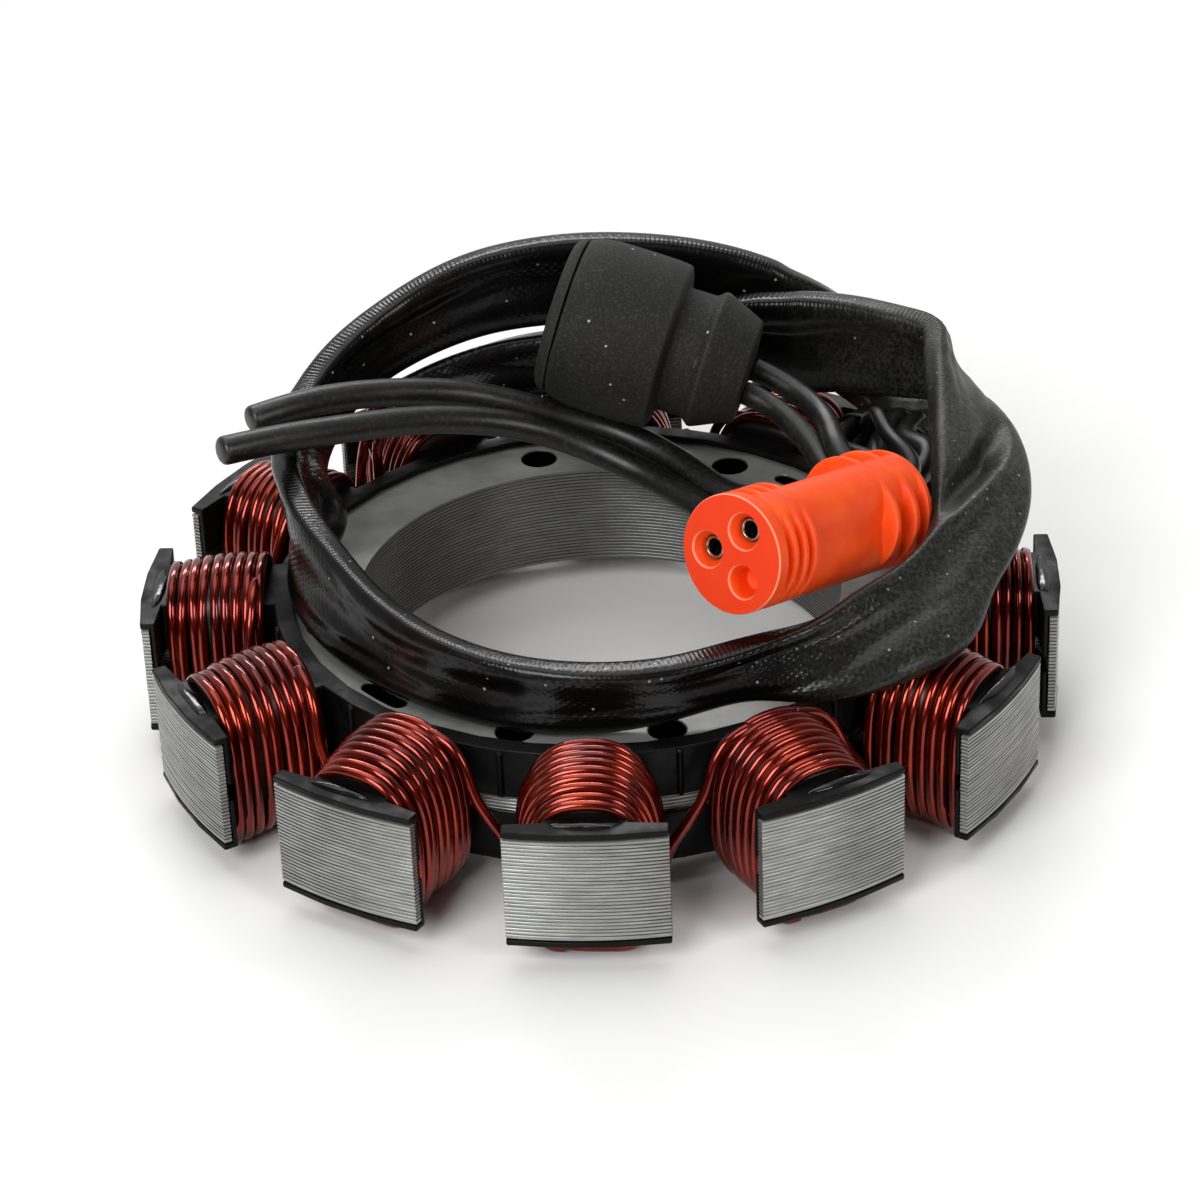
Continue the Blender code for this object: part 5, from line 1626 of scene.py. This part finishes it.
bump = add_node(
    tree, "ShaderNodeBump",
    {"Height": shown, "Strength": 0.8, "Distance": 0.00006, "Normal": wide_bump.outputs["Normal"]},
)
tree.links.new(bump.outputs["Normal"], shader.inputs["Normal"])
finish_with(sleeve, sleeving)

# %% [markdown]
# **Cable sheath.** Extruded flexible vinyl: smooth and black with a soft, slightly waxy shine, and
# faint marks along it.

# %% Cable sheath
sheath, tree, shader = new_finish("black vinyl cable sheath")
way_uv = add_node(tree, "ShaderNodeUVMap", uv_map="UVMap").outputs["UV"]
stretched = add_node(
    tree, "ShaderNodeMapping", {"Vector": way_uv, "Scale": (1.0, 0.15, 1.0)},
).outputs["Vector"]
mark = add_node(
    tree, "ShaderNodeTexNoise", {"Vector": stretched, "Scale": 1100, "Detail": 3},
).outputs["Fac"]
place = add_node(tree, "ShaderNodeTexCoord").outputs["Object"]
smear = add_node(
    tree, "ShaderNodeTexNoise", {"Vector": place, "Scale": 140, "Detail": 3},
).outputs["Fac"]
black = add_node(
    tree, "ShaderNodeValToRGB", {"Fac": smear}, stops=((0.35, "0B0B0A"), (0.7, "161615")),
).outputs["Color"]
fluff = add_node(
    tree, "ShaderNodeTexNoise", {"Vector": place, "Scale": 1700, "Detail": 3, "Roughness": 0.7},
).outputs["Fac"]
dust = add_node(
    tree, "ShaderNodeValToRGB", {"Fac": fluff}, stops=((0.5, "000000"), (0.72, "C0C0C0")),
).outputs["Color"]
dusted = add_node(
    tree, "ShaderNodeMix", {0: dust, 6: black, 7: linear("43423F")}, data_type="RGBA",
).outputs[2]
tree.links.new(dusted, shader.inputs["Base Color"])
rough = add_node(tree, "ShaderNodeMapRange", {0: smear, 3: 0.26, 4: 0.5}).outputs[0]
tree.links.new(rough, shader.inputs["Roughness"])
bump = add_node(tree, "ShaderNodeBump", {"Height": mark, "Strength": 0.3, "Distance": 0.00006})
tree.links.new(bump.outputs["Normal"], shader.inputs["Normal"])
for cable, _ in free_cables + boot_cables:
    finish_with(cable, sheath)
# The thin leads lie in the dark tangle behind the connector: a copy of the same sheath, its colour
# and its dust painted near black as painted shade
shaded_thin_sheath = sheath.copy()
shaded_thin_sheath.name = "thin lead sheath painted shade"
for node in shaded_thin_sheath.node_tree.nodes:
    if node.bl_idname == "ShaderNodeMix":
        node.inputs[7].default_value = linear("0C0C0B")
    if node.bl_idname == "ShaderNodeValToRGB" and node.color_ramp.elements[0].position < 0.4:
        node.color_ramp.elements[0].color = linear("040404")
        node.color_ramp.elements[1].color = linear("090909")
shaded_thin_shader = shaded_thin_sheath.node_tree.nodes["Principled BSDF"]
shaded_thin_shader.inputs["Specular IOR Level"].default_value = 0.25
for cable, _ in connector_cables:
    finish_with(cable, shaded_thin_sheath)

# %% [markdown]
# **Matt black rubber.** Moulded rubber that has aged a little: dark grey rather than black, with a
# fine pimpled skin, dust in its pores and a few pale specks.

# %% Matt rubber
rubber, tree, shader = new_finish("matt moulded black rubber")
place = add_node(tree, "ShaderNodeTexCoord").outputs["Object"]
pimple = add_node(
    tree, "ShaderNodeTexNoise", {"Vector": place, "Scale": 2600, "Detail": 3, "Roughness": 0.7},
).outputs["Fac"]
bloom = add_node(
    tree, "ShaderNodeTexNoise", {"Vector": place, "Scale": 120, "Detail": 5, "Roughness": 0.6},
).outputs["Fac"]
base = add_node(
    tree, "ShaderNodeValToRGB", {"Fac": bloom},
    stops=((0.32, "0D0D0C"), (0.52, "131312"), (0.7, "1B1B19")),
).outputs["Color"]
pale = add_node(
    tree, "ShaderNodeValToRGB", {"Fac": pimple}, stops=((0.5, "000000"), (0.68, "B4B4B4")),
).outputs["Color"]
dusty = add_node(
    tree, "ShaderNodeMix", {0: pale, 6: base, 7: linear("474743")}, data_type="RGBA",
).outputs[2]
cells = add_node(
    tree, "ShaderNodeTexVoronoi", {"Vector": place, "Scale": 300.0}, feature="F1",
).outputs["Distance"]
speck = add_node(
    tree, "ShaderNodeValToRGB", {"Fac": cells}, stops=((0.05, "FFFFFF"), (0.07, "000000")),
).outputs["Color"]
with_specks = add_node(
    tree, "ShaderNodeMix", {0: speck, 6: dusty, 7: linear("B8B7B2")}, data_type="RGBA",
).outputs[2]
# Sharp edges, found by pointiness, are painted paler: painted highlights.
edge_pointiness = add_node(tree, "ShaderNodeNewGeometry").outputs["Pointiness"]
edge_painted_highlight = add_node(
    tree, "ShaderNodeValToRGB", {"Fac": edge_pointiness}, stops=((0.51, "000000"), (0.57, "909090")),
).outputs["Color"]
with_edge_highlight = add_node(
    tree, "ShaderNodeMix", {0: edge_painted_highlight, 6: with_specks, 7: linear("6A6A66")}, data_type="RGBA",
).outputs[2]
tree.links.new(with_edge_highlight, shader.inputs["Base Color"])
rough = add_node(tree, "ShaderNodeMapRange", {0: bloom, 3: 0.6, 4: 0.85}).outputs[0]
tree.links.new(rough, shader.inputs["Roughness"])
shader.inputs["Specular IOR Level"].default_value = 0.35
dent = add_node(tree, "ShaderNodeBump", {"Height": bloom, "Strength": 0.5, "Distance": 0.0005})
bump = add_node(
    tree, "ShaderNodeBump",
    {"Height": pimple, "Strength": 0.9, "Distance": 0.00016, "Normal": dent.outputs["Normal"]},
)
tree.links.new(bump.outputs["Normal"], shader.inputs["Normal"])
for piece in (boot, boot_face):
    finish_with(piece, rubber)

# %% [markdown]
# ** Orange-red rubber.** Coloured right through, slightly translucent, with a satin skin. Raised edges are painted a touch paler, as painted highlights.

# %% Orange-red rubber
silicone, tree, shader = new_finish("orange red moulded rubber")
place = add_node(tree, "ShaderNodeTexCoord").outputs["Object"]
mottle = add_node(
    tree, "ShaderNodeTexNoise", {"Vector": place, "Scale": 260, "Detail": 4},
).outputs["Fac"]
skin_grain = add_node(
    tree, "ShaderNodeTexNoise", {"Vector": place, "Scale": 2200, "Detail": 2},
).outputs["Fac"]
# Sharp edges, found by pointiness, are painted paler: painted highlights.
edge_pointiness = add_node(tree, "ShaderNodeNewGeometry").outputs["Pointiness"]
base = add_node(
    tree, "ShaderNodeValToRGB", {"Fac": mottle},
    stops=((0.3, "F04206"), (0.55, "F64E0A"), (0.75, "FA5C14")),
).outputs["Color"]
edge_painted_highlight = add_node(
    tree, "ShaderNodeValToRGB", {"Fac": edge_pointiness}, stops=((0.505, "000000"), (0.56, "A0A0A0")),
).outputs["Color"]
colour = add_node(
    tree, "ShaderNodeMix", {0: edge_painted_highlight, 6: base, 7: linear("FF7A48")}, data_type="RGBA",
).outputs[2]
# The moulding's face has its sharp rims, round the flange and round each hole, painted pale as
# painted highlights
down_axis = add_node(
    tree, "ShaderNodeVectorMath", {0: place, 1: tuple(CONNECTOR_COURSE)}, operation="DOT_PRODUCT",
).outputs["Value"]
rim_at = CONNECTOR_PLACE.dot(CONNECTOR_COURSE) + 0.17 * MM
rim_painted_highlight = add_node(
    tree, "ShaderNodeMath", {0: down_axis, 1: rim_at, 2: 0.14 * MM}, operation="COMPARE",
).outputs[0]
rim_highlight_share = add_node(tree, "ShaderNodeMapRange", {0: rim_painted_highlight, 3: 0.0, 4: 0.65}).outputs[0]
colour = add_node(
    tree, "ShaderNodeMix", {0: rim_highlight_share, 6: colour, 7: linear("FFA684")}, data_type="RGBA",
).outputs[2]
on_face = add_node(
    tree, "ShaderNodeMath", {0: down_axis, 1: rim_at - 0.17 * MM, 2: 0.025 * MM},
    operation="COMPARE",
).outputs[0]
face_share = add_node(tree, "ShaderNodeMapRange", {0: on_face, 3: 0.0, 4: 0.8}).outputs[0]
colour = add_node(
    tree, "ShaderNodeMix", {0: face_share, 6: colour, 7: linear("EA3203")}, data_type="RGBA",
).outputs[2]
tree.links.new(colour, shader.inputs["Base Color"])
rough = add_node(tree, "ShaderNodeMapRange", {0: mottle, 3: 0.42, 4: 0.58}).outputs[0]
tree.links.new(rough, shader.inputs["Roughness"])
shader.inputs["Specular IOR Level"].default_value = 0.3
shader.inputs["Subsurface Weight"].default_value = 0.08
shader.inputs["Subsurface Radius"].default_value = (0.0015, 0.0005, 0.0002)
shader.inputs["Subsurface Scale"].default_value = 1.0
bump = add_node(
    tree, "ShaderNodeBump", {"Height": skin_grain, "Strength": 0.3, "Distance": 0.00006},
)
tree.links.new(bump.outputs["Normal"], shader.inputs["Normal"])
finish_with(connector, silicone)

tinned, tree, shader = new_finish("tinned brass")
place = add_node(tree, "ShaderNodeTexCoord").outputs["Object"]
scuff = add_node(
    tree, "ShaderNodeTexNoise", {"Vector": place, "Scale": 1800, "Detail": 2},
).outputs["Fac"]
metal = add_node(
    tree, "ShaderNodeValToRGB", {"Fac": scuff}, stops=((0.3, "8F8578"), (0.7, "B9AFA0")),
).outputs["Color"]
tree.links.new(metal, shader.inputs["Base Color"])
shader.inputs["Metallic"].default_value = 1.0
rough = add_node(tree, "ShaderNodeMapRange", {0: scuff, 3: 0.18, 4: 0.35}).outputs[0]
tree.links.new(rough, shader.inputs["Roughness"])
for order in (1, 2):
    finish_with(bpy.data.objects[f"contact_socket_{order}"], tinned)
print("finishes:", len(bpy.data.materials))

# %% [markdown]
# ## Floor and light
#
# The photograph was taken on a white sweep under large soft lights: pale grey contact shadows close
# to the part, white everywhere else. The floor is a large plane of matt white paper. From 0.1 to
# 0.3 m from the part it turns to a plain white glow, which only the camera's rays and mirrored ones
# see. More light would whiten it too, but it would also burn out the steel.

# %% Floor
FLOOR_HALF = 1.5
FLOOR_Z = -0.05 * MM
floor_corners = [
    (x * FLOOR_HALF, y * FLOOR_HALF, FLOOR_Z) for x, y in ((-1, -1), (1, -1), (1, 1), (-1, 1))
]
floor_mesh = bpy.data.meshes.new("floor")
floor_mesh.from_pydata(floor_corners, [], [(0, 1, 2, 3)])
floor = link_mesh("floor", floor_mesh, smooth=False)
paper, tree, shader = new_finish("matt white paper")
place = add_node(tree, "ShaderNodeTexCoord").outputs["Object"]
tooth = add_node(
    tree, "ShaderNodeTexNoise", {"Vector": place, "Scale": 900, "Detail": 2},
).outputs["Fac"]
shader.inputs["Base Color"].default_value = linear("F7F7F6")
shader.inputs["Roughness"].default_value = 0.6
shader.inputs["Specular IOR Level"].default_value = 0.2
bump = add_node(tree, "ShaderNodeBump", {"Height": tooth, "Strength": 0.1, "Distance": 0.0001})
tree.links.new(bump.outputs["Normal"], shader.inputs["Normal"])
# Far from the part the sweep is blown out to white, for the camera's rays and mirrored ones alone
from_part = add_node(tree, "ShaderNodeVectorMath", {0: place}, operation="LENGTH").outputs["Value"]
far = add_node(
    tree, "ShaderNodeMapRange", {0: from_part, 1: 0.10, 2: 0.30, 3: 0.0, 4: 0.9},
).outputs[0]
rays = add_node(tree, "ShaderNodeLightPath").outputs
sees = add_node(
    tree, "ShaderNodeMath", {0: rays["Is Camera Ray"], 1: rays["Is Glossy Ray"]},
    operation="MAXIMUM",
).outputs[0]
blown = add_node(tree, "ShaderNodeMath", {0: far, 1: sees}, operation="MULTIPLY").outputs[0]
white = add_node(tree, "ShaderNodeEmission", {"Color": (1, 1, 1, 1), "Strength": 1.0})
sweep = add_node(tree, "ShaderNodeMixShader", {0: blown, 1: shader.outputs[0], 2: white.outputs[0]})
tree.links.new(sweep.outputs[0], tree.nodes["Material Output"].inputs["Surface"])
finish_with(floor, paper)

# %% [markdown]
# Most of this part is black gloss, which shows whatever it faces, and the steel is pale. So the
# lamps are few and their level is plain. One hangs overhead, a large one stands in front at the
# left, and a small one at the right keeps the shoes there from going dull. A narrow strip low
# behind draws the thin crest lights on the wires and the sleeve. The world is pale behind and dark
# in front, and the camera sees it white.

# %% Lights
def soft_lamp(name, place, aim, size, power):
    """A square area lamp at a place, turned so that it faces its aim."""
    data = bpy.data.lights.new(name, "AREA")
    data.size = size
    data.energy = power
    lamp = bpy.data.objects.new(name, data)
    bpy.context.scene.collection.objects.link(lamp)
    aimed = (Vector(aim) - Vector(place)).to_track_quat("-Z", "Y").to_matrix().to_4x4()
    lamp.matrix_world = Matrix.Translation(place) @ aimed
    return lamp


PART_MIDDLE = (0, 0, 0.02)
soft_lamp("overhead", (-0.12, 0.16, 1.0), PART_MIDDLE, 0.85, 3.5)
strip = soft_lamp("strip_behind", (-0.10, 0.66, 0.52), PART_MIDDLE, 0.50, 2.0)
strip.data.shape = "RECTANGLE"
strip.data.size_y = 0.09
soft_lamp("front_left", (-0.46, -0.82, 0.70), PART_MIDDLE, 0.60, 9.4)
soft_lamp("front_right", (0.62, -0.62, 0.52), PART_MIDDLE, 0.32, 2.4)

world = bpy.data.worlds.new("studio")
bpy.context.scene.world = world
world.use_nodes = True
tree = world.node_tree
sky = tree.nodes["Background"]
way = add_node(tree, "ShaderNodeTexCoord").outputs["Generated"]
behind = add_node(tree, "ShaderNodeSeparateXYZ", {0: way}).outputs["Y"]
glow = add_node(
    tree, "ShaderNodeMapRange", {0: behind, 1: -0.12, 2: 0.65, 3: 0.09, 4: 0.70},
).outputs[0]
tree.links.new(glow, sky.inputs["Strength"])
sky.inputs["Color"].default_value = (1, 1, 1, 1)
seen = add_node(tree, "ShaderNodeBackground", {"Color": (1, 1, 1, 1), "Strength": 1.0})
rays = add_node(tree, "ShaderNodeLightPath")
choice = add_node(
    tree, "ShaderNodeMixShader",
    {0: rays.outputs["Is Camera Ray"], 1: sky.outputs[0], 2: seen.outputs[0]},
)
tree.links.new(choice.outputs[0], tree.nodes["World Output"].inputs["Surface"])
bpy.context.scene.view_settings.view_transform = "Standard"
